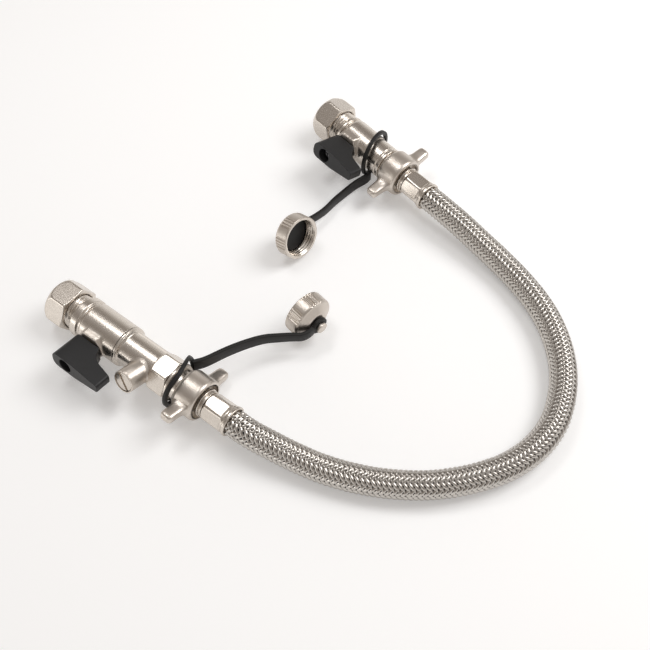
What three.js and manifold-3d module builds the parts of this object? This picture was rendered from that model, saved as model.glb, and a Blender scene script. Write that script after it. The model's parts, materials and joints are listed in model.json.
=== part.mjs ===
// Filling loop: two isolating valves for 15 mm pipe, joined by a braided hose.
// Millimetres, +Z up. +X runs along the inlet valve from its pipe end to the hose.
import * as THREE from "three";
import { mergeVertices } from "three/addons/utils/BufferGeometryUtils.js";
import Module from "manifold-3d";

const wasm = await Module();
wasm.setup();

// Driving dimensions

const CLEARANCE = 0.3; // gap kept between pieces that touch
const ROUND = 14; // facets of a large turned surface
const ROUND_SMALL = 10; // facets of a small or hidden one
const ROUND_HEX = 20; // facets of the chamfers on hexagons and grips

const PIPE_BORE = 15.4; // clears 15 mm copper pipe
const NUT_ACROSS_FLATS = 23.5;
const NUT_LENGTH = 14;
const NUT_FACE = 19.2; // flat ring at the pipe end
const NUT_DOME = 6.4; // how far the pipe end is domed
const NUT_LIP = 2; // wall at the pipe end that traps the olive
const COMPRESSION_THREAD = 19.4;
const OLIVE_LENGTH = 5;
const OLIVE_WALL = 1.2;
const PIPE_STOP = 17; // how deep the pipe goes in from the nut's face

const WATERWAY = 10; // bore on either side of the ball
const BALL_DIAMETER = 15;
const BALL_BORE = 9.4;
const SEAT_REACH = 8; // ball centre to the back of a seat
const SEAT_LENGTH = 3;
const CHAMBER = 17.2;

const STEM_DIAMETER = 7.2;
const STEM_FLATS = 5.4; // across the two flats that drive the lever
const STEM_FLANGE = 9.2;
const BOSS_ACROSS_FLATS = 15.6;
const BOSS_REACH = 12.4; // valve axis to the boss's face
const STEM_STANDS = 9; // stem's end above the boss's face
const SCREW_HOLE_DEPTH = 7;
const RETAINER_LENGTH = 5;
const RETAINER_SLOT = 1.4;
const TONGUE = 2.6;
const TONGUE_DEPTH = 1.6;
const O_RING = 1.4; // section of the stem seal

const LEVER_START = 0.4; // gap between the boss and the lever
const LEVER_REACH = 29.7; // valve axis to the lever's outer face
const LEVER_HUB = 9; // stem axis to the lever's round end
const LEVER_ARM = 22.6; // stem axis to the arm's tip
const LEVER_THICKNESS = 9.8;
const LEVER_TIP_THICKNESS = 5.6;
const LEVER_NOTCH = 6.8; // how far the arm stands back from the hub's inner face
const SCREW_RECESS = 7.8;
const SCREW_RECESS_DEPTH = 6;
const SCREW_HEAD = 6.4;
const SCREW_SHANK = 4;

const SOCKET_THREAD = 20.8; // half-inch parallel thread on the hose side
const CHECK_BORE = 14.6;
const CHECK_LENGTH = 11.5;
const CHECK_WALL = 1.3;
const POPPET_HEAD = 9.2;
const SPRING_TURNS = 3;

const WING_NUT_DIAMETER = 23.6;
const WING_NUT_LENGTH = 13;
const WING_NUT_WEB = 1.6;
const WING_NUT_WEB_BACK = 2.6; // rim to the web's outer face
const WING_REACH = 23.4;
const WING_LENGTH = 7.6;
const WING_THICKNESS = 5.4;

const TAIL_BORE = 6.6;
const TAIL_NECK = 13;
const TAIL_FLANGE = 1.5;
const TAIL_COLLAR = 15.6;
const WASHER_THICKNESS = 1.5;
const FERRULE_ACROSS_FLATS = 14.4;
const FERRULE_LENGTH = 15.4;
const FERRULE_FLARE = 16.6;
const FERRULE_FLARE_LENGTH = 2.2;
const TAIL_SPIGOT = 9.4;

const HOSE_DIAMETER = 14.6;
const HOSE_LINER = 13;
const HOSE_LINER_BORE = 8.6;
const HOSE_SIDES = 10;
const HOSE_STEP = 2; // diameters from one section of the tube to the next

const CAP_DIAMETER = 24.8;
const CAP_WALL = 2;
const CAP_GRIP = 8.6; // length of the grooved wall
const CAP_CROWN = 2.8; // height of the cone over it
const CAP_CROWN_TOP = 13;
const CAP_DEPTH = 8.8; // mouth to the washer's seat
const CAP_GROOVE_GROUPS = 6;
const CAP_GROOVES = 4; // grooves in a group
const CAP_GROOVE_PITCH = 7.5; // degrees
const CAP_GROOVE_DEPTH = 0.6;
const CAP_WASHER = 1.6;
const STUD_NECK = 3.8;
const STUD_NECK_LENGTH = 3;
const STUD_HEAD = 6.2;
const STUD_HEAD_LENGTH = 1.6;

const STRAP_LOOP_BORE = 23.6;
const STRAP_LOOP_WALL = 2.2;
const STRAP_THICKNESS = 2.1;
const STRAP_WIDTH = 6.2;
const EYELET_DIAMETER = 9.8;
const BAND_STEPS = 18;

// Each valve along its own axis: how it differs from the other one.
const INLET = {
  name: "inlet",
  nutTurn: -2.2, // degrees from lying on a flat
  threadShown: 4.2,
  collarDiameter: 23.2,
  collarLength: 4.8,
  groove: 1.6,
  sectionDiameter: 22.8,
  ballOffset: 10.2, // section start to ball centre
  stemTilt: 10, // degrees that the stem points above the level
  sectionLength: 23.8,
  wingTurn: -19,
};
const OUTLET = {
  name: "outlet",
  nutTurn: -27,
  threadShown: 5.4,
  collarDiameter: 20.6,
  collarLength: 1.6,
  groove: 0.8,
  sectionDiameter: 21,
  ballOffset: 7.6,
  stemTilt: 16,
  sectionLength: 20.4,
  neckDiameter: 19.6,
  neckLength: 13.5,
  wingTurn: 4,
};

// The check valve body, from its flange to the hose thread.
const FLANGE_DIAMETER = 22.8;
const FLANGE_LENGTH = 2.4;
const CHECK_SECTION_DIAMETER = 19.6;
const CHECK_SECTION_LENGTH = 20.4;
const WRENCH_ACROSS_FLATS = 20;
const WRENCH_LENGTH = 11;
const NECK_RING_DIAMETER = 21.2;
const NECK_RING_LENGTH = 1.8;
const STRAP_NECK_DIAMETER = 17.4;
const STRAP_NECK_LENGTH = 4.6;
const TEST_OFFSET = 14.6; // section start to the test plug's axis
const TEST_TILT = 22;
const TEST_BOSS_DIAMETER = 12.2;
const TEST_BOSS_REACH = 16.8;
const TEST_PLUG_HEAD = 10.8;
const TEST_PLUG_HEAD_LENGTH = 2.2;
const TEST_PLUG_SHANK = 6.6;
const TEST_PLUG_SHANK_LENGTH = 6;
const TEST_PORT = 3.4;

// Where the loose parts lie, in the inlet valve's frame before centring
const INLET_HEIGHT = nutHeight(INLET.nutTurn);
const OUTLET_PLACE = [32, 193];
const OUTLET_HEADING = -11.2;
const OUTLET_HEIGHT = nutHeight(OUTLET.nutTurn);
const INLET_CAP_MOUTH = [107.9, 72, CAP_DIAMETER / 2 + 0.1];
const INLET_CAP_HEADING = -9.5;
const OUTLET_CAP_MOUTH = [79.2, 108, 14.7];
const OUTLET_CAP_HEADING = 175;
const OUTLET_CAP_DIP = 16; // the stud end is the lower one
const LOOP_SKEW = { inlet: 5, outlet: 16 };
const LOOP_BACK = { inlet: 0.3, outlet: 5.4 };

// The hose's centreline between the ferrules, as it lies on the table.
const HOSE_LIES_AT = HOSE_DIAMETER / 2 + 0.1;
const HOSE_STRAIGHT = 9; // it leaves each ferrule straight for this far
const HOSE_ROUTE = [
  [142, 2, 10.4],
  [155, 4.8, 8.4],
  [168, 8, HOSE_LIES_AT],
  [181, 12.4, HOSE_LIES_AT],
  [194, 18.4, HOSE_LIES_AT],
  [207, 26.4, HOSE_LIES_AT],
  [219, 36, HOSE_LIES_AT],
  [231, 49.2, HOSE_LIES_AT],
  [240.6, 64, HOSE_LIES_AT],
  [246, 80, HOSE_LIES_AT],
  [246.8, 96.4, HOSE_LIES_AT],
  [242.4, 113, HOSE_LIES_AT],
  [234.4, 128, HOSE_LIES_AT],
  [222.4, 141.6, HOSE_LIES_AT],
  [207.6, 152.6, HOSE_LIES_AT],
  [191, 160.4, HOSE_LIES_AT],
  [174, 165.8, 8],
  [158, 169.2, 9.6],
  [142, 172, 12],
];

const COLOURS = {
  nickel: { color: 0xb8b0a4, roughness: 0.3, metalness: 1 },
  brass: { color: 0xb5a642, roughness: 0.35, metalness: 1 },
  steel: { color: 0x9a9a98, roughness: 0.35, metalness: 1 },
  lever: { color: 0x242424, roughness: 0.55, metalness: 0 },
  rubber: { color: 0x171717, roughness: 0.7, metalness: 0 },
  seat: { color: 0xe8e6df, roughness: 0.5, metalness: 0 },
  acetal: { color: 0xd8d4c8, roughness: 0.45, metalness: 0 },
};

// Helpers

function rad(degrees) {
  return (degrees * Math.PI) / 180;
}

function solidOf(geometry) {
  const bare = geometry.clone();
  bare.deleteAttribute("normal");
  bare.deleteAttribute("uv");
  const merged = mergeVertices(bare, 1e-4);
  const corners = merged.index.array;
  const kept = [];
  for (let i = 0; i < corners.length; i += 3) {
    const [a, b, c] = corners.subarray(i, i + 3);
    if (a !== b && b !== c && c !== a) kept.push(a, b, c);
  }
  return new wasm.Manifold(
    new wasm.Mesh({
      numProp: 3,
      vertProperties: merged.attributes.position.array,
      triVerts: new Uint32Array(kept),
    }),
  );
}

function geometryOf(solid) {
  const mesh = solid.getMesh();
  const geometry = new THREE.BufferGeometry();
  const places = new THREE.BufferAttribute(mesh.vertProperties, 3);
  geometry.setAttribute("position", places);
  geometry.setIndex(new THREE.BufferAttribute(mesh.triVerts, 1));
  geometry.computeVertexNormals();
  return geometry;
}

function join(first, ...others) {
  return geometryOf(others.reduce((a, b) => a.add(solidOf(b)), solidOf(first)));
}

function cut(first, ...others) {
  const made = others.reduce((a, b) => a.subtract(solidOf(b)), solidOf(first));
  return geometryOf(made);
}

function common(first, second) {
  return geometryOf(solidOf(first).intersect(solidOf(second)));
}

// Revolves [place along X, radius] pairs about X. The outline runs towards +X along
// the outside and back along the bore, or starts and ends on the axis.
function turned(outline, segments = ROUND) {
  const points = outline.map(([x, r]) => new THREE.Vector2(r, x));
  if (outline[0][1] > 0) points.push(points[0].clone());
  return new THREE.LatheGeometry(points, segments).rotateZ(-Math.PI / 2);
}

// The same about +Z, for what lies along the stem or the test plug.
function turnedUp(outline, segments = ROUND_SMALL) {
  return turned(outline, segments).rotateY(-Math.PI / 2);
}

function rod(diameter, start, end, segments = ROUND_SMALL) {
  const r = diameter / 2;
  return turned([[start, 0], [start, r], [end, r], [end, 0]], segments);
}

function rodUp(diameter, start, end, segments = ROUND_SMALL) {
  return rod(diameter, start, end, segments).rotateY(-Math.PI / 2);
}

function block(x0, x1, y0, y1, z0, z1) {
  const box = new THREE.BoxGeometry(x1 - x0, y1 - y0, z1 - z0);
  return box.translate((x0 + x1) / 2, (y0 + y1) / 2, (z0 + z1) / 2);
}

// A hexagonal bar along X. With no turn it lies on a flat.
function hexBar(acrossFlats, start, end, turn = 0) {
  const r = acrossFlats / Math.sqrt(3);
  const bar = new THREE.CylinderGeometry(r, r, end - start, 6);
  bar.rotateZ(-Math.PI / 2).rotateX(Math.PI / 6 + rad(turn));
  return bar.translate((start + end) / 2, 0, 0);
}

function named(name, geometry, finish) {
  const material = new THREE.MeshStandardMaterial(COLOURS[finish]);
  const mesh = new THREE.Mesh(geometry, material);
  mesh.name = name;
  return mesh;
}

// Stations along a valve's axis, worked out from its sizes.
// The axis's height where the nut lies on the table, turned from a flat by less than 30 degrees.
function nutHeight(turn) {
  return (NUT_ACROSS_FLATS / Math.sqrt(3)) * Math.cos(rad(30 - Math.abs(turn)));
}

function stations(valve) {
  const threadEnd = NUT_LENGTH + valve.threadShown;
  const collarStart = threadEnd + 0.5;
  const sectionStart = collarStart + valve.collarLength + valve.groove;
  const ball = sectionStart + valve.ballOffset;
  const sectionEnd = sectionStart + valve.sectionLength;
  const flangeStart = sectionEnd + CLEARANCE;
  const checkStart = flangeStart + FLANGE_LENGTH;
  const wrenchStart = checkStart + CHECK_SECTION_LENGTH;
  const wrenchEnd = wrenchStart + WRENCH_LENGTH;
  const inletNeck = wrenchEnd + NECK_RING_LENGTH;
  const neckStart = valve.neckLength ? sectionEnd : inletNeck;
  const neckEnd = neckStart + (valve.neckLength || STRAP_NECK_LENGTH);
  const wingStart = neckEnd + CLEARANCE;
  const wingEnd = wingStart + WING_NUT_LENGTH;
  const webEnd = wingEnd - WING_NUT_WEB_BACK;
  const flangeEnd = webEnd - WING_NUT_WEB - CLEARANCE;
  const tailStart = flangeEnd - TAIL_FLANGE;
  const washerStart = tailStart - CLEARANCE - WASHER_THICKNESS;
  const socketEnd = washerStart - CLEARANCE;
  return {
    threadEnd, collarStart, sectionStart, ball, sectionEnd, flangeStart, checkStart,
    wrenchStart, wrenchEnd, neckStart, neckEnd, socketEnd, wingStart, wingEnd, webEnd,
    washerStart, tailStart, flangeEnd,
    stemTilt: valve.stemTilt,
    ferruleStart: wingEnd + 3.2,
    ferruleEnd: wingEnd + 3.2 + FERRULE_LENGTH,
  };
}

// Compression joint

const BODY_START = NUT_LIP + CLEARANCE + OLIVE_LENGTH * 0.55;

function compressionNut(turn) {
  const corner = NUT_ACROSS_FLATS / Math.sqrt(3);
  const face = NUT_ACROSS_FLATS / 2 - 0.6;
  const outline = [[0, 0], [0, NUT_FACE / 2]];
  const arcs = 4;
  for (let step = 1; step <= arcs; step++) {
    const angle = (step / arcs) * (Math.PI / 2);
    const rise = (corner + 0.1 - NUT_FACE / 2) * Math.sin(angle);
    outline.push([NUT_DOME * (1 - Math.cos(angle)), NUT_FACE / 2 + rise]);
  }
  outline.push([NUT_LENGTH - 1, corner + 0.1], [NUT_LENGTH, face], [NUT_LENGTH, 0]);
  const bore = PIPE_BORE / 2;
  const thread = COMPRESSION_THREAD / 2 + CLEARANCE;
  const cavity = bore + OLIVE_WALL + CLEARANCE;
  const inside = [
    [-1, 0], [-1, bore + 0.6], [0, bore + 0.6], [0.6, bore], [NUT_LIP, bore],
    [NUT_LIP, bore + 0.7], [BODY_START - 1.4, cavity], [BODY_START - 0.6, thread],
    [NUT_LENGTH - 0.5, thread], [NUT_LENGTH, thread + 0.5], [NUT_LENGTH + 1, thread + 0.5],
    [NUT_LENGTH + 1, 0],
  ];
  const bar = hexBar(NUT_ACROSS_FLATS, 0, NUT_LENGTH, turn);
  return cut(common(bar, turned(outline, ROUND_HEX)), turned(inside));
}

function olive() {
  const start = NUT_LIP + CLEARANCE;
  const end = start + OLIVE_LENGTH;
  const bore = PIPE_BORE / 2;
  const middle = (start + end) / 2;
  return turned([
    [start, bore], [start, bore + 0.5], [middle - 0.8, bore + OLIVE_WALL],
    [middle + 0.2, bore + OLIVE_WALL], [end, bore + 0.35], [end, bore],
  ]);
}

// The bore of a body from its mouth to the ball chamber, as a cutter.
function pipeSide(at) {
  const bore = PIPE_BORE / 2;
  const seatEnd = NUT_LIP + 2 * CLEARANCE + OLIVE_LENGTH;
  return turned([
    [BODY_START - 1, 0], [BODY_START - 1, bore + 1.5], [BODY_START, bore + 1.5],
    [seatEnd, bore + 0.75], [seatEnd, bore], [PIPE_STOP, bore],
    [PIPE_STOP, WATERWAY / 2], [at.ball, WATERWAY / 2], [at.ball, 0],
  ]);
}

function chamber(at, end) {
  const start = at.ball - SEAT_REACH - CLEARANCE;
  return rod(CHAMBER, start, end, ROUND);
}

// Outline of a body's thread, collar and groove, shared by both valves.
function pipeEndOutline(valve, at) {
  const thread = COMPRESSION_THREAD / 2;
  const collar = valve.collarDiameter / 2;
  const undercut = thread - 0.9;
  return [
    [BODY_START, 0], [BODY_START, thread - 0.5], [BODY_START + 0.5, thread],
    [at.threadEnd, thread], [at.threadEnd + 0.2, undercut], [at.collarStart, undercut],
    [at.collarStart, collar - 0.5], [at.collarStart + 0.5, collar],
    [at.sectionStart - valve.groove - 0.4, collar],
    [at.sectionStart - valve.groove, collar - 0.9],
    [at.sectionStart, collar - 0.9],
  ];
}

// Stem boss, with its bores, in the stem's frame

function toStem(geometry, at) {
  return geometry.rotateX(rad(90 - at.stemTilt)).translate(at.ball, 0, 0);
}

function stemBoss(at) {
  const r = BOSS_ACROSS_FLATS / Math.sqrt(3);
  const prism = new THREE.CylinderGeometry(r, r, BOSS_REACH - 4, 6);
  prism.rotateX(Math.PI / 2).rotateZ(Math.PI / 6).translate(0, 0, (BOSS_REACH + 4) / 2);
  const turn = turnedUp([
    [0, 0], [0, r + 1], [BOSS_REACH - 1.2, r + 0.6], [BOSS_REACH, r - 1], [BOSS_REACH, 0],
  ], ROUND);
  return toStem(common(prism, turn), at);
}

// The ball's top flat carries the tongue; the flange stops the stem from inside.
const TONGUE_BOTTOM = BALL_DIAMETER / 2 - TONGUE_DEPTH;
const FLANGE_BOTTOM = CHAMBER / 2 - 0.9;
const FLANGE_TOP = FLANGE_BOTTOM + 1.2;

function stemBore(at) {
  const hole = STEM_DIAMETER / 2 + CLEARANCE;
  const pocket = STEM_FLANGE / 2 + CLEARANCE;
  return toStem(turnedUp([
    [4, 0], [4, pocket], [FLANGE_TOP + CLEARANCE, pocket],
    [FLANGE_TOP + CLEARANCE, hole], [BOSS_REACH + 1, hole], [BOSS_REACH + 1, 0],
  ]), at);
}

// Valve bodies

function inletBody(at) {
  const section = INLET.sectionDiameter / 2;
  const outline = pipeEndOutline(INLET, at).concat([
    [at.sectionStart, section - 0.6], [at.sectionStart + 0.7, section],
    [at.sectionEnd - 3, section], [at.sectionEnd - 2.2, section - 0.7],
    [at.sectionEnd, section - 0.7], [at.sectionEnd, 0],
  ]);
  const shell = join(turned(outline), stemBoss(at));
  return cut(shell, pipeSide(at), chamber(at, at.sectionEnd + 1), stemBore(at));
}

function outletBody(at) {
  const section = OUTLET.sectionDiameter / 2;
  const neck = OUTLET.neckDiameter / 2;
  const thread = SOCKET_THREAD / 2;
  const outline = pipeEndOutline(OUTLET, at).concat([
    [at.sectionStart, section - 1.1], [at.sectionStart + 2, section],
    [at.sectionEnd - 1.5, section], [at.sectionEnd, neck],
    [at.neckEnd - 1.4, neck], [at.neckEnd - 1, neck - 1], [at.neckEnd, neck - 1],
    [at.neckEnd, thread], [at.socketEnd - 0.6, thread], [at.socketEnd, thread - 0.6],
    [at.socketEnd, 0],
  ]);
  const shell = join(turned(outline), stemBoss(at));
  return cut(shell, pipeSide(at), chamber(at, at.socketEnd + 1), stemBore(at));
}

// The hidden screwed ring that holds the outlet valve's rear seat.
function ballRetainer(at) {
  const start = at.ball + SEAT_REACH + CLEARANCE;
  const end = start + RETAINER_LENGTH;
  const outer = CHAMBER / 2 - CLEARANCE;
  const ring = turned([
    [start, WATERWAY / 2], [start, outer], [end, outer], [end, WATERWAY / 2],
  ]);
  const slot = block(end - RETAINER_SLOT, end + 1, -outer - 1, outer + 1, -0.8, 0.8);
  return cut(ring, slot);
}

function testAxis(at) {
  return at.checkStart + TEST_OFFSET;
}

function toTest(geometry, at) {
  return geometry.rotateX(rad(90 - TEST_TILT)).translate(testAxis(at), 0, 0);
}

function checkBody(at) {
  const spigot = CHAMBER / 2 - CLEARANCE;
  const start = at.ball + SEAT_REACH + CLEARANCE;
  const flange = FLANGE_DIAMETER / 2;
  const section = CHECK_SECTION_DIAMETER / 2;
  const corner = WRENCH_ACROSS_FLATS / Math.sqrt(3) - 0.25;
  const ring = NECK_RING_DIAMETER / 2;
  const neck = STRAP_NECK_DIAMETER / 2;
  const thread = SOCKET_THREAD / 2;
  const round = turned([
    [start, 0], [start, spigot], [at.flangeStart, spigot], [at.flangeStart, flange - 0.4],
    [at.flangeStart + 0.4, flange], [at.checkStart - 0.7, flange],
    [at.checkStart, section], [at.wrenchStart + 1, section], [at.wrenchStart + 1, 0],
  ]);
  const wrench = common(
    hexBar(WRENCH_ACROSS_FLATS, at.wrenchStart, at.wrenchEnd),
    turned([
      [at.wrenchStart, 0], [at.wrenchStart, section + 0.1],
      [at.wrenchStart + 1.6, corner], [at.wrenchEnd - 0.8, corner],
      [at.wrenchEnd, corner - 0.9], [at.wrenchEnd, 0],
    ]),
  );
  const hoseEnd = turned([
    [at.wrenchEnd - 1, 0], [at.wrenchEnd - 1, neck], [at.wrenchEnd + 0.2, neck],
    [at.wrenchEnd + 0.2, ring - 0.3], [at.wrenchEnd + 0.5, ring], [at.neckStart - 0.2, ring],
    [at.neckStart, neck], [at.neckEnd, neck], [at.neckEnd, thread],
    [at.socketEnd - 0.6, thread], [at.socketEnd, thread - 0.6], [at.socketEnd, 0],
  ]);
  const boss = toTest(turnedUp([
    [6, 0], [6, TEST_BOSS_DIAMETER / 2 + 0.4], [section, TEST_BOSS_DIAMETER / 2],
    [TEST_BOSS_REACH, TEST_BOSS_DIAMETER / 2], [TEST_BOSS_REACH, 0],
  ], ROUND), at);
  const bore = turned([
    [start - 1, 0], [start - 1, WATERWAY / 2], [at.checkStart + 1, WATERWAY / 2],
    [at.checkStart + 1, CHECK_BORE / 2], [at.socketEnd + 1, CHECK_BORE / 2],
    [at.socketEnd + 1, 0],
  ]);
  const shank = TEST_PLUG_SHANK / 2 + CLEARANCE;
  const tap = toTest(turnedUp([
    [CHECK_BORE / 2 - 1, 0], [CHECK_BORE / 2 - 1, TEST_PORT / 2],
    [TEST_BOSS_REACH - TEST_PLUG_SHANK_LENGTH - CLEARANCE, TEST_PORT / 2],
    [TEST_BOSS_REACH - TEST_PLUG_SHANK_LENGTH - CLEARANCE, shank],
    [TEST_BOSS_REACH + 1, shank], [TEST_BOSS_REACH + 1, 0],
  ]), at);
  return cut(join(round, wrench, hoseEnd, boss), bore, tap);
}

// Test plug, with its sealing ring under the head

const PLUG_SEAL = 1.1;

function testPlug(at) {
  const seat = TEST_BOSS_REACH + PLUG_SEAL + 2 * CLEARANCE;
  const top = seat + TEST_PLUG_HEAD_LENGTH;
  const head = TEST_PLUG_HEAD / 2;
  const screw = turnedUp([
    [TEST_BOSS_REACH - TEST_PLUG_SHANK_LENGTH, 0],
    [TEST_BOSS_REACH - TEST_PLUG_SHANK_LENGTH, TEST_PLUG_SHANK / 2],
    [seat, TEST_PLUG_SHANK / 2], [seat, head - 0.2], [seat + 0.2, head],
    [top - 0.5, head], [top, head - 0.5], [top, 0],
  ], ROUND);
  const slot = block(-0.7, 0.7, -head - 1, head + 1, top - 1.3, top + 1);
  return toTest(cut(screw, slot), at);
}

function testPlugSeal(at) {
  const start = TEST_BOSS_REACH + CLEARANCE;
  const inner = TEST_PLUG_SHANK / 2 + CLEARANCE;
  const outer = TEST_PLUG_HEAD / 2 - 0.5;
  return toTest(turnedUp([
    [start, inner], [start, outer], [start + PLUG_SEAL, outer], [start + PLUG_SEAL, inner],
  ]), at);
}

// Check valve cartridges, poppets and springs

const SEAT_WALL = 1.4;
const SPIDER_WALL = 1.6;
const POPPET_STEM = 2.4;
const POPPET_DISC = 1.6;

function cartridgeStart(at, index) {
  const first = at.checkStart + 1 + CLEARANCE;
  const second = testAxis(at) + TEST_PORT / 2 + 0.8;
  return index === 1 ? first : second;
}

function cartridge(start) {
  const outer = CHECK_BORE / 2 - CLEARANCE;
  const inner = outer - CHECK_WALL;
  const hole = POPPET_HEAD / 2 - 1;
  const end = start + CHECK_LENGTH;
  const tube = turned([
    [start, hole], [start, outer], [end, outer], [end, inner],
    [start + SEAT_WALL + 0.6, inner], [start + SEAT_WALL, hole + 0.5],
  ]);
  const guide = POPPET_STEM / 2 + CLEARANCE;
  const hub = turned([
    [end - SPIDER_WALL, guide], [end - SPIDER_WALL, guide + 1.1], [end, guide + 1.1],
    [end, guide],
  ], ROUND_SMALL);
  const arm = guide + 0.6;
  const spokes = [0, 120, 240].map((turn) =>
    block(end - SPIDER_WALL, end, -0.6, 0.6, arm, inner + 0.4).rotateX(rad(turn)),
  );
  return join(tube, hub, ...spokes);
}

function poppet(start) {
  const seat = start + SEAT_WALL + CLEARANCE + 0.5;
  const head = POPPET_HEAD / 2;
  const end = start + CHECK_LENGTH;
  return turned([
    [seat - 0.5, 0], [seat - 0.5, head - 1.3], [seat, head], [seat + POPPET_DISC, head],
    [seat + POPPET_DISC, POPPET_STEM / 2], [end, POPPET_STEM / 2], [end, 0],
  ], ROUND_SMALL);
}

class Coil extends THREE.Curve {
  constructor(start, end, radius, turns) {
    super();
    Object.assign(this, { start, end, radius, turns });
  }

  getPoint(share, target = new THREE.Vector3()) {
    const angle = share * this.turns * 2 * Math.PI;
    return target.set(
      this.start + (this.end - this.start) * share,
      this.radius * Math.cos(angle),
      this.radius * Math.sin(angle),
    );
  }
}

function checkSpring(start) {
  const wire = 0.6;
  const head = start + SEAT_WALL + CLEARANCE + 0.5 + POPPET_DISC;
  const stop = start + CHECK_LENGTH - SPIDER_WALL;
  const path = new Coil(
    head + CLEARANCE + wire / 2,
    stop - CLEARANCE - wire / 2,
    POPPET_STEM / 2 + CLEARANCE + 0.6 + wire / 2,
    SPRING_TURNS,
  );
  const section = new THREE.Shape().absarc(0, 0, wire / 2, 0, 2 * Math.PI);
  return new THREE.ExtrudeGeometry(section, {
    steps: 8 * SPRING_TURNS,
    curveSegments: 2,
    bevelEnabled: false,
    extrudePath: path,
  });
}

// Ball, seats and stem

function ball(at) {
  const sphere = new THREE.SphereGeometry(BALL_DIAMETER / 2, ROUND, ROUND / 2);
  sphere.rotateZ(-Math.PI / 2).translate(at.ball, 0, 0);
  const bore = rod(BALL_BORE, at.ball - BALL_DIAMETER, at.ball + BALL_DIAMETER, ROUND);
  const width = TONGUE / 2 + CLEARANCE;
  const slot = block(
    -BALL_DIAMETER, BALL_DIAMETER, -width, width,
    TONGUE_BOTTOM - CLEARANCE, BALL_DIAMETER,
  );
  return cut(sphere, bore, toStem(slot, at));
}

function ballSeat(at, side) {
  const outer = CHAMBER / 2 - CLEARANCE;
  const inner = BALL_BORE / 2 + 0.2;
  const back = at.ball + side * SEAT_REACH;
  const front = at.ball + side * (SEAT_REACH - SEAT_LENGTH);
  const low = Math.min(back, front);
  const high = Math.max(back, front);
  const ring = turned([[low, inner], [low, outer], [high, outer], [high, inner]]);
  const room = new THREE.SphereGeometry(BALL_DIAMETER / 2 + CLEARANCE, ROUND, ROUND / 2);
  room.rotateZ(-Math.PI / 2).translate(at.ball, 0, 0);
  return cut(ring, room);
}

const STEM_END = BOSS_REACH + STEM_STANDS;
const RING_BOTTOM = FLANGE_TOP + 1.2;

function stem(at) {
  const r = STEM_DIAMETER / 2;
  const flange = STEM_FLANGE / 2;
  const groove = r - O_RING;
  const round = turnedUp([
    [FLANGE_BOTTOM, 0], [FLANGE_BOTTOM, flange], [FLANGE_TOP, flange], [FLANGE_TOP, r],
    [RING_BOTTOM - CLEARANCE, r], [RING_BOTTOM - CLEARANCE, groove],
    [RING_BOTTOM + O_RING + CLEARANCE, groove], [RING_BOTTOM + O_RING + CLEARANCE, r],
    [STEM_END, r], [STEM_END, 0],
  ]);
  const half = STEM_FLATS / 2;
  const sides = [1, -1].map((side) => {
    const near = side > 0 ? half : -r - 1;
    return block(-r - 1, r + 1, near, near + r + 1 - half, BOSS_REACH + 0.6, STEM_END + 1);
  });
  const tongue = block(
    -STEM_FLANGE / 2 + 1, STEM_FLANGE / 2 - 1, -TONGUE / 2, TONGUE / 2,
    TONGUE_BOTTOM, FLANGE_BOTTOM + 0.5,
  );
  const drilled = rodUp(SCREW_SHANK + 2 * CLEARANCE, STEM_END - SCREW_HOLE_DEPTH, STEM_END + 1);
  return toStem(cut(join(round, tongue), ...sides, drilled), at);
}

function stemSeal(at) {
  const outer = STEM_DIAMETER / 2 + CLEARANCE / 3;
  const inner = STEM_DIAMETER / 2 - O_RING + CLEARANCE;
  return toStem(turnedUp([
    [RING_BOTTOM, inner], [RING_BOTTOM, outer - 0.3], [RING_BOTTOM + 0.4, outer],
    [RING_BOTTOM + O_RING - 0.4, outer], [RING_BOTTOM + O_RING, outer - 0.3],
    [RING_BOTTOM + O_RING, inner],
  ]), at);
}

// Lever handle, seen along the stem: x towards the arm, y across it

function leverOutline() {
  const half = LEVER_THICKNESS / 2;
  const tip = LEVER_TIP_THICKNESS / 2;
  const corner = 4;
  const shape = new THREE.Shape();
  shape.moveTo(-LEVER_HUB, -half + corner);
  shape.quadraticCurveTo(-LEVER_HUB, -half, -LEVER_HUB + corner, -half);
  shape.lineTo(LEVER_HUB * 0.7, -half);
  shape.lineTo(LEVER_ARM - 1.5, -tip);
  shape.quadraticCurveTo(LEVER_ARM, -tip, LEVER_ARM, -tip + 1.5);
  shape.lineTo(LEVER_ARM, tip - 1.5);
  shape.quadraticCurveTo(LEVER_ARM, tip, LEVER_ARM - 1.5, tip);
  shape.lineTo(LEVER_HUB * 0.7, half);
  shape.lineTo(-LEVER_HUB + corner, half);
  shape.quadraticCurveTo(-LEVER_HUB, half, -LEVER_HUB, half - corner);
  return shape;
}

const LEVER_INNER = BOSS_REACH + LEVER_START;
const RECESS_BOTTOM = LEVER_REACH - SCREW_RECESS_DEPTH;

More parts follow.
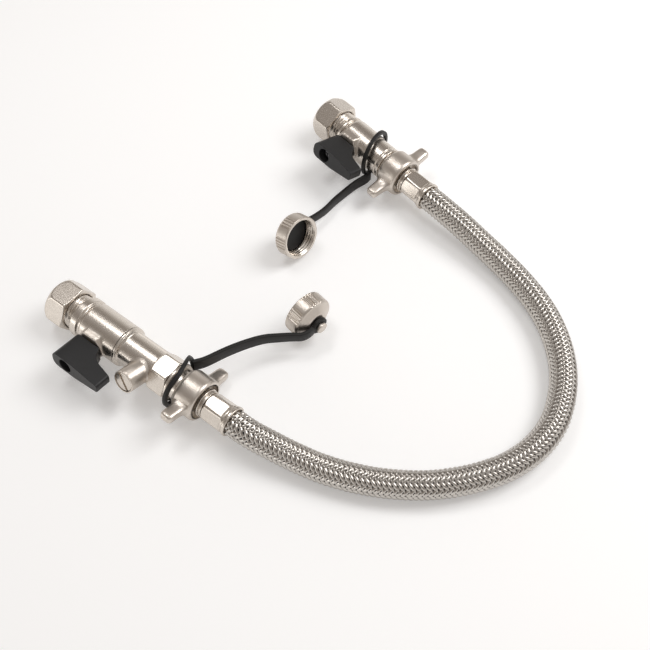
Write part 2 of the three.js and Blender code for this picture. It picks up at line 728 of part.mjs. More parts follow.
function lever(at) {
  const bevel = 0.9;
  const plate = new THREE.ExtrudeGeometry(leverOutline(), {
    depth: LEVER_REACH - LEVER_INNER - 2 * bevel,
    curveSegments: 4,
    bevelThickness: bevel,
    bevelSize: bevel,
    bevelOffset: -bevel,
    bevelSegments: 2,
  }).translate(0, 0, LEVER_INNER + bevel);
  const notch = new THREE.Shape();
  notch.moveTo(LEVER_HUB * 0.8, LEVER_INNER - 1);
  notch.quadraticCurveTo(
    LEVER_HUB, LEVER_INNER + LEVER_NOTCH * 0.9, LEVER_HUB * 1.7, LEVER_INNER + LEVER_NOTCH,
  );
  notch.lineTo(LEVER_ARM + 2, LEVER_INNER + LEVER_NOTCH + 1.6);
  notch.lineTo(LEVER_ARM + 2, LEVER_INNER - 1);
  const undercut = new THREE.ExtrudeGeometry(notch, {
    depth: LEVER_THICKNESS + 2,
    curveSegments: 6,
    bevelEnabled: false,
  });
  undercut.rotateX(Math.PI / 2).translate(0, LEVER_THICKNESS / 2 + 1, 0);
  const half = STEM_FLATS / 2 + CLEARANCE;
  const socket = common(
    rodUp(STEM_DIAMETER + 2 * CLEARANCE, LEVER_INNER - 1, STEM_END + CLEARANCE),
    block(-STEM_DIAMETER, STEM_DIAMETER, -half, half, LEVER_INNER - 2, STEM_END + 1),
  );
  const relief = rodUp(
    STEM_DIAMETER + 2 * CLEARANCE, LEVER_INNER - 1, BOSS_REACH + 0.6 + CLEARANCE,
  );
  const hole = rodUp(SCREW_SHANK + 2 * CLEARANCE, STEM_END - 1, LEVER_REACH);
  const recess = rodUp(SCREW_RECESS, RECESS_BOTTOM, LEVER_REACH + 1, 24);
  return toStem(cut(plate, undercut, socket, relief, hole, recess), at);
}

function leverScrew(at) {
  const head = SCREW_HEAD / 2;
  const seat = RECESS_BOTTOM + CLEARANCE;
  const top = seat + 2.4;
  const screw = turnedUp([
    [STEM_END - 6, 0], [STEM_END - 6, SCREW_SHANK / 2], [seat, SCREW_SHANK / 2],
    [seat, head], [top - 0.9, head], [top, head - 1.2], [top, 0],
  ]);
  const cross = [0, 90].map((turn) =>
    block(-2.2, 2.2, -0.45, 0.45, top - 1.4, top + 1).rotateZ(rad(turn)),
  );
  return toStem(cut(screw, ...cross), at);
}

// Hose connection

function wingNut(valve, at) {
  const outer = WING_NUT_DIAMETER / 2;
  const thread = SOCKET_THREAD / 2 + CLEARANCE;
  const rim = outer - 1.6;
  const barrel = turned([
    [at.wingStart, 0], [at.wingStart, outer - 1], [at.wingStart + 1.2, outer],
    [at.wingEnd - 0.5, outer], [at.wingEnd, outer - 0.5], [at.wingEnd, 0],
  ]);
  const lobe = new THREE.Shape();
  const middle = (at.wingStart + at.wingEnd) / 2;
  const foot = WING_LENGTH / 2 + 1.6;
  const tip = WING_LENGTH / 2 - 0.8;
  lobe.moveTo(middle - foot, outer - 3);
  lobe.quadraticCurveTo(middle - tip - 0.8, outer + 2, middle - tip - 0.6, WING_REACH - 3);
  lobe.quadraticCurveTo(middle - tip, WING_REACH, middle, WING_REACH);
  lobe.quadraticCurveTo(middle + tip, WING_REACH, middle + tip + 0.6, WING_REACH - 3);
  lobe.quadraticCurveTo(middle + tip + 0.8, outer + 2, middle + foot, outer - 3);
  const wing = new THREE.ExtrudeGeometry(lobe, {
    depth: WING_THICKNESS - 2,
    curveSegments: 4,
    bevelThickness: 1,
    bevelSize: 0.9,
    bevelOffset: -0.9,
    bevelSegments: 1,
  }).translate(0, 0, 1 - WING_THICKNESS / 2);
  const inside = turned([
    [at.wingStart - 1, 0], [at.wingStart - 1, thread + 0.4], [at.wingStart, thread + 0.4],
    [at.wingStart + 0.4, thread], [at.webEnd - WING_NUT_WEB, thread],
    [at.webEnd - WING_NUT_WEB, TAIL_NECK / 2 + CLEARANCE],
    [at.webEnd, TAIL_NECK / 2 + CLEARANCE], [at.webEnd, rim], [at.wingEnd + 1, rim],
    [at.wingEnd + 1, 0],
  ]);
  const opposite = wing.clone().rotateX(Math.PI);
  return cut(join(barrel, wing, opposite), inside).rotateX(rad(valve.wingTurn));
}

function hoseTail(at) {
  const flange = SOCKET_THREAD / 2 - 0.3;
  const neck = TAIL_NECK / 2;
  const collar = TAIL_COLLAR / 2;
  const spigot = TAIL_SPIGOT / 2;
  const collarStart = at.wingEnd + 0.2;
  const collarEnd = at.ferruleStart - CLEARANCE;
  const barbs = [1, 2].flatMap((step) => {
    const x = collarEnd + step * 5;
    return [[x - 0.2, spigot], [x, spigot - 0.5]];
  });
  return turned([
    [at.tailStart, TAIL_BORE / 2], [at.tailStart, flange], [at.flangeEnd, flange],
    [at.flangeEnd, neck], [collarStart, neck], [collarStart, collar],
    [collarStart + 1, collar], [collarStart + 1.2, neck + 0.3], [collarStart + 1.6, neck + 0.3],
    [collarStart + 1.8, collar - 0.4], [collarEnd, collar - 0.4], [collarEnd, spigot], ...barbs,
    [at.ferruleEnd - 1, spigot - 0.5], [at.ferruleEnd - 1, TAIL_BORE / 2],
  ]);
}

function hoseWasher(at) {
  const outer = SOCKET_THREAD / 2 - 0.4;
  const inner = TAIL_BORE / 2 + 1;
  const end = at.washerStart + WASHER_THICKNESS;
  return turned([
    [at.washerStart, inner], [at.washerStart, outer], [end, outer], [end, inner],
  ], ROUND_SMALL);
}

// Crimped sleeve: six pressed flats between a round shoulder and a flared mouth.
function ferrule(at) {
  const flare = FERRULE_FLARE / 2;
  const corner = FERRULE_ACROSS_FLATS / Math.sqrt(3);
  const flareStart = at.ferruleEnd - FERRULE_FLARE_LENGTH;
  const pressed = common(
    hexBar(FERRULE_ACROSS_FLATS, at.ferruleStart, flareStart + 0.5),
    turned([
      [at.ferruleStart, 0], [at.ferruleStart, corner - 1], [at.ferruleStart + 1, corner - 0.3],
      [flareStart + 0.5, corner - 0.3], [flareStart + 0.5, 0],
    ]),
  );
  const mouth = turned([
    [flareStart - 1.6, 0], [flareStart - 1.6, FERRULE_ACROSS_FLATS / 2],
    [flareStart, flare - 0.3], [flareStart + 0.5, flare], [at.ferruleEnd - 0.4, flare],
    [at.ferruleEnd, flare - 0.4], [at.ferruleEnd, 0],
  ]);
  const bore = rod(TAIL_SPIGOT + 2 * CLEARANCE, at.ferruleStart - 1, at.ferruleEnd + 1);
  return cut(join(pressed, mouth), bore);
}

// Blanking cap, from its mouth at x = 0 to the stud that the strap holds

const CAP_BACK = CAP_GRIP + CAP_CROWN;
const EYELET_MIDDLE = CAP_BACK + STUD_NECK_LENGTH / 2;

function gripOutline() {
  const outer = CAP_DIAMETER / 2;
  const shape = new THREE.Shape();
  const groupAngle = 360 / CAP_GROOVE_GROUPS;
  const grooved = CAP_GROOVES * CAP_GROOVE_PITCH;
  const points = [];
  for (let group = 0; group < CAP_GROOVE_GROUPS; group++) {
    const start = group * groupAngle;
    for (let groove = 0; groove < CAP_GROOVES; groove++) {
      const angle = start + groove * CAP_GROOVE_PITCH;
      points.push([angle, outer], [angle + CAP_GROOVE_PITCH / 2, outer - CAP_GROOVE_DEPTH]);
    }
    points.push([start + grooved, outer], [start + (grooved + groupAngle) / 2, outer]);
  }
  const corners = points.map(
    ([angle, r]) => new THREE.Vector2(r * Math.cos(rad(angle)), r * Math.sin(rad(angle))),
  );
  return shape.setFromPoints(corners);
}

function cap() {
  const outer = CAP_DIAMETER / 2;
  const top = CAP_CROWN_TOP / 2;
  const bevel = 0.5;
  const grip = new THREE.ExtrudeGeometry(gripOutline(), {
    depth: CAP_GRIP - 2 * bevel,
    bevelThickness: bevel,
    bevelSize: bevel,
    bevelOffset: -bevel,
    bevelSegments: 1,
  }).translate(0, 0, bevel).rotateY(Math.PI / 2);
  const crown = turned([
    [CAP_GRIP - 0.6, 0], [CAP_GRIP - 0.6, outer - 1], [CAP_GRIP + 0.3, outer - 1],
    [CAP_BACK - 0.6, top + 0.4], [CAP_BACK, top - 0.6], [CAP_BACK, STUD_NECK / 2],
    [CAP_BACK + STUD_NECK_LENGTH, STUD_NECK / 2],
    [CAP_BACK + STUD_NECK_LENGTH, STUD_HEAD / 2 - 0.3],
    [CAP_BACK + STUD_NECK_LENGTH + 0.3, STUD_HEAD / 2],
    [CAP_BACK + STUD_NECK_LENGTH + STUD_HEAD_LENGTH - 0.4, STUD_HEAD / 2],
    [CAP_BACK + STUD_NECK_LENGTH + STUD_HEAD_LENGTH, STUD_HEAD / 2 - 0.4],
    [CAP_BACK + STUD_NECK_LENGTH + STUD_HEAD_LENGTH, 0],
  ]);
  const bore = outer - CAP_WALL;
  const inside = turned([
    [-1, 0], [-1, bore + 0.5], [0, bore + 0.5], [0.5, bore], [CAP_DEPTH, bore], [CAP_DEPTH, 0],
  ]);
  return cut(join(grip, crown), inside);
}

function capWasher() {
  const end = CAP_DEPTH - CLEARANCE;
  const outer = CAP_DIAMETER / 2 - CAP_WALL - CLEARANCE;
  return rod(2 * outer, end - CAP_WASHER, end, ROUND);
}

function capPlace(which) {
  const inlet = which === "inlet";
  return {
    mouth: inlet ? INLET_CAP_MOUTH : OUTLET_CAP_MOUTH,
    heading: inlet ? INLET_CAP_HEADING : OUTLET_CAP_HEADING,
    dip: inlet ? 0 : OUTLET_CAP_DIP,
  };
}

function capFrame(which) {
  const { mouth, heading, dip } = capPlace(which);
  const frame = new THREE.Group();
  frame.position.set(...mouth);
  frame.rotation.set(0, rad(dip), rad(heading), "ZYX");
  return frame;
}

// Retaining strap: a loop round the neck, a band on edge and an eyelet, moulded as one

function strapLoop() {
  const inner = STRAP_LOOP_BORE / 2;
  const outer = inner + STRAP_LOOP_WALL;
  const half = STRAP_THICKNESS / 2;
  return turned([
    [-half, inner], [-half, outer - 0.4], [-half + 0.4, outer], [half - 0.4, outer],
    [half, outer - 0.4], [half, inner], [-half, inner],
  ]);
}

// A strip on edge that follows a route, narrowing from the loop to the eyelet.
function band(route, narrowing) {
  const curve = new THREE.CatmullRomCurve3(route);
  const strip = new THREE.BoxGeometry(1, STRAP_THICKNESS, STRAP_WIDTH, BAND_STEPS, 1, 1);
  const corners = strip.attributes.position;
  const corner = new THREE.Vector3();
  for (let i = 0; i < corners.count; i++) {
    corner.fromBufferAttribute(corners, i);
    const share = corner.x + 0.5;
    const along = curve.getTangentAt(share);
    const side = new THREE.Vector3(-along.y, along.x, 0).normalize();
    const place = curve.getPointAt(share).addScaledVector(side, corner.y);
    place.z += corner.z * (1 - narrowing * share);
    corners.setXYZ(i, place.x, place.y, place.z);
  }
  return strip;
}

function eyelet(which) {
  const half = STRAP_THICKNESS / 2;
  const inner = STUD_NECK / 2 + CLEARANCE;
  const outer = EYELET_DIAMETER / 2;
  const disc = rod(2 * outer, -half, half, ROUND);
  const hole = rod(2 * inner, -half - 1, half + 1);
  const frame = capFrame(which);
  frame.updateMatrix();
  const place = (geometry) =>
    geometry.translate(EYELET_MIDDLE, 0, 0).applyMatrix4(frame.matrix);
  return { disc: place(disc), hole: place(hole) };
}

const LOOP_HEIGHT = STRAP_LOOP_BORE / 2 + STRAP_LOOP_WALL + 0.1;

// Places along each band, first from the middle of its loop and then from that of its eyelet.
const STRAP_ROUTES = {
  inlet: {
    fromLoop: [
      [-1.9, 12.6, 0.1], [-1.6, 17.4, 0.1], [1.6, 24.6, -0.1], [6.8, 33, -0.5],
      [12.4, 41.4, -0.9],
    ],
    fromEyelet: [
      [-16.2, -21.1, 0.3], [-11.2, -15.9, 0.1], [-6.2, -13.4, 0], [-2.6, -10.9, 0],
      [-0.9, -7.5, 0], [-0.7, -4.3, 0],
    ],
  },
  outlet: {
    fromLoop: [
      [-0.2, -9.5, -8.3], [-2.2, -13.5, -9.1], [-6.8, -18.1, -9.7], [-10.4, -25.5, -10.1],
      [-11.9, -35.1, -10.1],
    ],
    fromEyelet: [
      [3.4, 29.5, -6.7], [2.8, 19.9, -5.5], [0.6, 12.5, -3.5], [-0.2, 6.3, -1.5],
      [-0.1, 3.5, -0.5],
    ],
  },
};
const NARROWING = { inlet: 0.12, outlet: 0.3 };

function strapRoute(which, loopPlace) {
  const frame = capFrame(which);
  frame.updateMatrix();
  const eyeletPlace = new THREE.Vector3(EYELET_MIDDLE, 0, 0).applyMatrix4(frame.matrix);
  const { fromLoop, fromEyelet } = STRAP_ROUTES[which];
  const places = (offsets, from) =>
    offsets.map((offset) => new THREE.Vector3(...offset).add(from));
  return [
    ...places(fromLoop, new THREE.Vector3(...loopPlace)),
    ...places(fromEyelet, eyeletPlace),
  ];
}

function strap(which, loopPlace) {
  const loop = strapLoop().rotateZ(rad(LOOP_SKEW[which]));
  if (which === "outlet") loop.rotateZ(rad(OUTLET_HEADING));
  loop.translate(...loopPlace);
  const { disc, hole } = eyelet(which);
  const tether = band(strapRoute(which, loopPlace), NARROWING[which]);
  return cut(join(loop, tether, disc), hole);
}

// Hose

function hoseTube(path, outer, bore) {
  const section = new THREE.Shape();
  const ring = (r, target) => {
    for (let side = 0; side < HOSE_SIDES; side++) {
      const angle = (side / HOSE_SIDES) * 2 * Math.PI;
      const point = [r * Math.cos(angle), r * Math.sin(angle)];
      if (side === 0) target.moveTo(...point);
      else target.lineTo(...point);
    }
    target.closePath();
    return target;
  };
  ring(outer / 2, section);
  section.holes.push(ring(bore / 2, new THREE.Path()));
  const steps = Math.round(path.getLength() / (HOSE_STEP * HOSE_DIAMETER));
  return new THREE.ExtrudeGeometry(section, {
    steps,
    bevelEnabled: false,
    extrudePath: path,
  });
}

// Assembly

const inletAt = stations(INLET);
const outletAt = stations(OUTLET);

function valveGroup(valve, at) {
  const group = new THREE.Group();
  const inlet = valve === INLET;
  const add = (piece, geometry, finish) =>
    group.add(named(`${valve.name}_${piece}`, geometry, finish));
  add("compression_nut", compressionNut(valve.nutTurn), "nickel");
  add("olive", olive(), "brass");
  add("valve_body", inlet ? inletBody(at) : outletBody(at), "nickel");
  add("ball", ball(at), "steel");
  add("ball_seat_front", ballSeat(at, -1), "seat");
  add("ball_seat_rear", ballSeat(at, 1), "seat");
  add("stem", stem(at), "brass");
  add("stem_seal", stemSeal(at), "rubber");
  add("handle", lever(at), "lever");
  add("handle_screw", leverScrew(at), "steel");
  add("wing_nut", wingNut(valve, at), "nickel");
  add("hose_washer", hoseWasher(at), "rubber");
  add("hose_tail", hoseTail(at), "nickel");
  add("ferrule", ferrule(at), "nickel");
  return group;
}

function capGroup(which) {
  const group = capFrame(which);
  group.add(named(`${which}_cap`, cap(), "nickel"));
  group.add(named(`${which}_cap_washer`, capWasher(), "rubber"));
  return group;
}

const inlet = valveGroup(INLET, inletAt);
inlet.position.set(0, 0, INLET_HEIGHT);
inlet.add(named("check_valve_body", checkBody(inletAt), "nickel"));
inlet.add(named("test_plug", testPlug(inletAt), "nickel"));
inlet.add(named("test_plug_seal", testPlugSeal(inletAt), "rubber"));
for (const index of [1, 2]) {
  const start = cartridgeStart(inletAt, index);
  inlet.add(named(`check_cartridge_${index}`, cartridge(start), "acetal"));
  inlet.add(named(`check_poppet_${index}`, poppet(start), "acetal"));
  inlet.add(named(`check_spring_${index}`, checkSpring(start), "steel"));
}

const outlet = valveGroup(OUTLET, outletAt);
outlet.position.set(...OUTLET_PLACE, OUTLET_HEIGHT);
outlet.rotation.z = rad(OUTLET_HEADING);
outlet.add(named("outlet_ball_retainer", ballRetainer(outletAt), "brass"));

function alongOutlet(x) {
  outlet.updateMatrix();
  return new THREE.Vector3(x, 0, 0).applyMatrix4(outlet.matrix);
}

const inletLoop = [(inletAt.neckStart + inletAt.neckEnd) / 2 - LOOP_BACK.inlet, 0, LOOP_HEIGHT];
const outletNeck = alongOutlet(outletAt.neckEnd - LOOP_BACK.outlet);
const outletLoop = [outletNeck.x, outletNeck.y, LOOP_HEIGHT];

const hoseStart = new THREE.Vector3(inletAt.ferruleEnd + CLEARANCE, 0, INLET_HEIGHT);
const hosePath = new THREE.CatmullRomCurve3([
  hoseStart,
  hoseStart.clone().add(new THREE.Vector3(HOSE_STRAIGHT, 0, 0)),
  ...HOSE_ROUTE.map((point) => new THREE.Vector3(...point)),
  alongOutlet(outletAt.ferruleEnd + CLEARANCE + HOSE_STRAIGHT),
  alongOutlet(outletAt.ferruleEnd + CLEARANCE),
]);

const loop = new THREE.Group();
loop.add(inlet, outlet, capGroup("inlet"), capGroup("outlet"));
loop.add(named("inlet_cap_strap", strap("inlet", inletLoop), "rubber"));
loop.add(named("outlet_cap_strap", strap("outlet", outletLoop), "rubber"));

// The origin is under the middle of everything but the hose.
const extent = new THREE.Box3().setFromObject(loop, true);
const middle = extent.getCenter(new THREE.Vector3());
loop.position.set(-middle.x, -middle.y, -extent.min.z);

const braidBore = HOSE_LINER + 2 * CLEARANCE;
loop.add(named("hose_braid", hoseTube(hosePath, HOSE_DIAMETER, braidBore), "steel"));
loop.add(named("hose_liner", hoseTube(hosePath, HOSE_LINER, HOSE_LINER_BORE), "rubber"));

const fillingLoop = new THREE.Group();
fillingLoop.add(loop);

export default fillingLoop;
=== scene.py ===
import json
import math

import bmesh
import bpy
import numpy as np
from mathutils import Matrix, Vector


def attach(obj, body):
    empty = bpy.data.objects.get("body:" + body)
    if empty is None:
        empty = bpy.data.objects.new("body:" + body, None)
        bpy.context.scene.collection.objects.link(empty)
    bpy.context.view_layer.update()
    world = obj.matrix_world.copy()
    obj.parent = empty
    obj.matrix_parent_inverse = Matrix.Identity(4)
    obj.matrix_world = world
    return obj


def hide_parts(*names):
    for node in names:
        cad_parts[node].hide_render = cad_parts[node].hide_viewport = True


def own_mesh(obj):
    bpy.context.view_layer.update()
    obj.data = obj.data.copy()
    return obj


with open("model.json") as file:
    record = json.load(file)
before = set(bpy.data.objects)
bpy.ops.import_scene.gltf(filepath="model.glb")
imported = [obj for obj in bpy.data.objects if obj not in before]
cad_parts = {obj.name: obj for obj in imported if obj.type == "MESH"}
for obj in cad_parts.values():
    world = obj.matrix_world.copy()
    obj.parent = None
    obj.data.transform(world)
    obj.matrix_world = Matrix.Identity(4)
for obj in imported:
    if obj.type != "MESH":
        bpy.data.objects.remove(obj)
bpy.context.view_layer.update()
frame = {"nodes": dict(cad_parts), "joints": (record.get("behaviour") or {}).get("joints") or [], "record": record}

# Sizes are in millimetres in each piece's own place, whose matrix turns them into metres.

MM = 0.001
TAU = 2 * math.pi
JOINTS = {joint["name"]: joint for joint in frame["joints"]}

# Camera, in millimetres from the middle of the inlet nut's face
CAMERA_AT = (274.5, -127.1, 400.6)
CAMERA_LOOKS_AT = (118.4, 78.1, -12)
CAMERA_LENS = 49.85
CAMERA_SENSOR = 36

# Floor and sky: how much the floor glows, and the sky's colours from the horizon to overhead
FLOOR_REACH = 4
FLOOR_DROP = 0.0002
FLOOR_GLOW = 0.22
SKY = [(0.0, (1.0, 0.99, 0.98)), (0.25, (0.6, 0.57, 0.54)), (0.55, (0.27, 0.24, 0.215)),
       (0.8, (0.33, 0.3, 0.28)), (1.0, (0.7, 0.69, 0.68))]

# Threads
PIPE_THREAD = 9.7
HOSE_THREAD = 10.4
THREAD_PITCH = 1.8
THREAD_DEPTH = 0.75

# Compression nuts
NUT_FLATS = 23.5
NUT_FACE = 9.6
NUT_DOME = 6.4
NUT_DOME_STEPS = 12
NUT_TURN = {"inlet": -2.2, "outlet": -27}
PIPE_BORE = 7.7

# Check valve body, from its node's start: flange, section behind it, middle of the test plug
CHECK_FLANGE = 5.9
CHECK_SECTION = CHECK_FLANGE + 2.4
TEST_MIDDLE = CHECK_SECTION + 14.6
SEAM_GAP = 0.3

# Stem boss and levers
BOSS_FLATS = 15.6
BOSS_REACH = 12.4
BOSS_BORE_DEPTH = 3
LEVER_REACH = 29.7
LEVER_HUB = 9
LEVER_ARM = 22.6
LEVER_WIDTH = 9.8
LEVER_TIP_WIDTH = 5.6
LEVER_NOTCH = 6.8
LEVER_CORNER = 4
LEVER_TIP_CORNER = 1.5
LEVER_EDGE = 0.8
RECESS = 3.9
RECESS_DEPTH = 6
STEM_HOLE = 3.9
STEM_HOLE_END = 21.6
SCREW_SLOT = 0.45

# Hose
HOSE_DIAMETER = 14.6
HOSE_LINER = 13
HOSE_WALL = 2.2
HOSE_STRAIGHT = 9
HOSE_GAP = 0.3
BRAID_LEAD = 30
BRAID_CARRIERS = 12
BRAID_WIRES = 4
BRAID_WAVE = 0.3
BRAID_CROWN = 0.55
BRAID_RIDGE = 0.1
BRAID_COVER = 0.84
BRAID_STEPS_A_CROSSING = 3

# The hose's centreline between its ends: x and y from the inlet nut, height above the table
HOSE_ROUTE = [
    (142, 2, 10.4), (155, 4.8, 8.4), (168, 8, 7.4), (181, 12.4, 7.4), (194, 18.4, 7.4),
    (207, 26.4, 7.4), (219, 36, 7.4), (231, 49.2, 7.4), (240.6, 64, 7.4), (246, 80, 7.4),
    (246.8, 96.4, 7.4), (242.4, 113, 7.4), (234.4, 128, 7.4), (222.4, 141.6, 7.4),
    (207.6, 152.6, 7.4), (191, 160.4, 7.4), (174, 165.8, 8), (158, 169.2, 9.6), (142, 172, 12),
]

# The straps' bands, from the middles of the loop and of the eyelet
STRAP_FROM_LOOP = {
    "inlet": [(-1.5, 11.6, 0.1), (2.0, 17.1, -0.1), (6.4, 27.9, -0.5), (11.4, 37.8, -0.9),
              (16.5, 45.6, -1.3)],
    "outlet": [(-3.9, -8.0, -8.2), (-4.2, -11.4, -8.9), (-6.6, -18.0, -9.7), (-7.9, -25.6, -9.9)],
}
STRAP_FROM_EYELET = {
    "inlet": [(-11.7, -18.7, 0.1), (-6.4, -14.0, 0), (-2.7, -11.0, 0), (-1.0, -7.5, 0),
              (-0.7, -4.3, 0)],
    "outlet": [(6.2, 38, -6.5), (6.4, 26.6, -5.1), (4.6, 14, -2.6), (0.8, 6.2, -1),
               (-0.1, 3.5, -0.5)],
}
STRAP_WIDTH = {"inlet": 8.4, "outlet": 7.4}
STRAP_THICKNESS = 2.1
STRAP_NARROWING = {"inlet": 0.3, "outlet": 0.4}
STRAP_CORNER = 0.55
LOOP_BORE = 11.8
LOOP_WALL = 2.2
LOOP_TURN = {"inlet": 0, "outlet": 4.8}
LOOP_BACK = {"inlet": 0, "outlet": 7.8}
EYELET_BORE = 2.2
EYELET_DIAMETER = 9.8

# How far the inlet's loop leans towards the hose, at each angle round it in degrees
LOOP_LEAN = {
    0: -4.0, 22: -3.9, 44: -2.0, 66: 0.2, 88: 2.1, 110: 2.5, 132: 1.9, 154: 1.4, 176: 1.3, 198: 0.8,
    220: -0.6, 242: -0.85, 264: -0.9, 286: -0.9, 308: -0.9, 330: -2.0, 345: -3.3, 360: -4.0,
}

# Caps
CAP_RADIUS = 12.4
CAP_GRIP = 8.6
CAP_BACK = 11.4
EYELET_MIDDLE = 12.9
STUD_NECK = 1.9
STUD_HEAD = 3.1

# Test plug
TEST_TILT = 22
TEST_BOSS = 6.2
TEST_BOSS_REACH = 20.2
TEST_HEAD = 5.4


# Places: matrices from millimetres in a piece's own frame to metres in the row's frame

def place_of(origin, along, up):
    x = Vector(along).normalized()
    y = Vector(up).cross(x).normalized()
    z = x.cross(y)
    turned = Matrix((x, y, z)).transposed().to_4x4()
    return Matrix.Translation(origin) @ turned @ Matrix.Scale(MM, 4)


def joint_at(name):
    return Vector(JOINTS[name]["pos_m"])


def from_start(point):
    """A place given in millimetres from the middle of the inlet nut's face."""
    return joint_at("inlet_compression_nut_spin") + Vector(point) * MM


def valve_place(side):
    spin = JOINTS[f"{side}_compression_nut_spin"]
    return place_of(spin["pos_m"], spin["axis"], (0, 0, 1))


def lever_place(side):
    turn = JOINTS[f"{side}_handle_turn"]
    valve = Vector(JOINTS[f"{side}_compression_nut_spin"]["axis"])
    return place_of(turn["pos_m"], valve, turn["axis"])


def cap_place(side):
    spin = JOINTS[f"{side}_cap_spin"]
    axis = Vector(spin["axis"])
    mouth = Vector(spin["pos_m"]) - axis * EYELET_MIDDLE * MM
    return place_of(mouth, axis, (0, 0, 1))


def span(node, place):
    """Lowest and highest x of a node in a piece's own frame."""
    inverse = place.inverted()
    along = [(inverse @ vertex.co).x for vertex in frame["nodes"][node].data.vertices]
    return min(along), max(along)


# Mesh helpers

def new_mesh(name, points, faces, place):
    """A mesh in the row's frame, with its doubled points merged and its faces turned out."""
    mesh = bpy.data.meshes.new(name)
    mesh.from_pydata([tuple(point) for point in points], [], [tuple(face) for face in faces])
    mesh.transform(place)
    tidy = bmesh.new()
    tidy.from_mesh(mesh)
    bmesh.ops.remove_doubles(tidy, verts=tidy.verts, dist=1e-7)
    bmesh.ops.recalc_face_normals(tidy, faces=tidy.faces)
    tidy.to_mesh(mesh)
    tidy.free()
    return mesh


def new_object(name, data):
    made = bpy.data.objects.new(name, data)
    bpy.context.scene.collection.objects.link(made)
    return made


def add_piece(name, points, faces, place, surface, body, stands_for=(), sharp=38):
    """A piece that rides on a body and may stand for nodes of the frame."""
    mesh = new_mesh(name, points, faces, place)
    mesh.shade_smooth()
    mesh.set_sharp_from_angle(angle=math.radians(sharp))
    mesh.materials.append(surface)
    piece = new_object(name, mesh)
    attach(piece, body)
    if stands_for:
        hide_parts(*stands_for)
    return piece


def add_modifier(piece, kind, **settings):
    modifier = piece.modifiers.new(kind.lower(), kind)
    for key, value in settings.items():
        setattr(modifier, key, value)


def apply_modifiers(piece):
    graph = bpy.context.evaluated_depsgraph_get()
    made = bpy.data.meshes.new_from_object(piece.evaluated_get(graph))
    piece.modifiers.clear()
    piece.data = made


def grid_faces(rows, columns, close_rows):
    """Quads of a grid whose columns wrap round, and whose rows do if close_rows is set."""
    faces = []
    for row in range(rows if close_rows else rows - 1):
        above = (row + 1) % rows
        for column in range(columns):
            beside = (column + 1) % columns
            faces.append((row * columns + column, row * columns + beside,
                          above * columns + beside, above * columns + column))
    return faces


def filleted(outline, steps=3):
    """An outline of (x, r) or (x, r, fillet) points with an arc at each point that has a fillet."""
    made = []
    for index, point in enumerate(outline):
        here = np.array(point[:2], float)
        radius = point[2] if len(point) > 2 else 0
        if not radius or index in (0, len(outline) - 1):
            made.append(here)
            continue
        before = np.array(outline[index - 1][:2], float) - here
        after = np.array(outline[index + 1][:2], float) - here
        reach = min(radius, np.linalg.norm(before) * 0.48, np.linalg.norm(after) * 0.48)
        start = here + before / np.linalg.norm(before) * reach
        end = here + after / np.linalg.norm(after) * reach
        for step in range(steps + 1):
            t = step / steps
            made.append((1 - t) ** 2 * start + 2 * t * (1 - t) * here + t**2 * end)
    return made


def dense(outline, step):
    """The same outline with no stretch longer than step."""
    made = [outline[0]]
    for before, after in zip(outline, outline[1:]):
        count = max(1, math.ceil(np.linalg.norm(after - before) / step))
        made += [before + (after - before) * share / count for share in range(1, count + 1)]
    return made


def spun(outer, inner=(), columns=96, shape=None, step=0.3):
    """Points and faces of a turned piece along X. shape(x, angle, r) may change the outside."""
    outside = filleted(outer)
    if shape:
        outside = dense(outside, step)
    angles = np.arange(columns) * TAU / columns
    rows = []
    for x, r in outside:
        radii = np.full(columns, r)
        rows.append((x, shape(x, angles, radii) if shape else radii))
    for x, r in filleted(inner) if inner else []:
        rows.append((x, np.full(columns, r)))
    points = [
        (x, r * math.cos(angle), r * math.sin(angle))
        for x, radii in rows
        for angle, r in zip(angles, radii)
    ]
    return points, grid_faces(len(rows), columns, close_rows=bool(inner))


def hexagon(angles, flats, turn=0, sharpness=60):
    """Radius of a hexagon with slightly rounded corners, lying on a flat before its turn."""
    total = 0
    for side in range(6):
        normal = math.radians(90 + turn + 60 * side)
        total = total + np.maximum(np.cos(angles - normal), 0) ** sharpness
    return flats / 2 / total ** (1 / sharpness)


def soft_min(first, second, blend=0.12):
    return -blend * np.log(np.exp(-(first - second) / blend) + 1) + second


def threaded(x, angles, radii, start, end, pitch=THREAD_PITCH, depth=THREAD_DEPTH):
    """A rounded helical thread cut into the outside between start and end."""
    if not start < x < end:
        return radii
    fade = min(1, (x - start) / 0.5, (end - x) / 0.8)
    wave = np.abs(2 * ((x / pitch - angles / TAU) % 1) - 1)
    return radii - depth * fade * np.clip(wave * 1.3 - 0.15, 0, 1)


# Materials

def node_of(tree, kind, **inputs):
    node = tree.nodes.new(kind)
    for key, value in inputs.items():
        node.inputs[key.replace("_", " ")].default_value = value
    return node


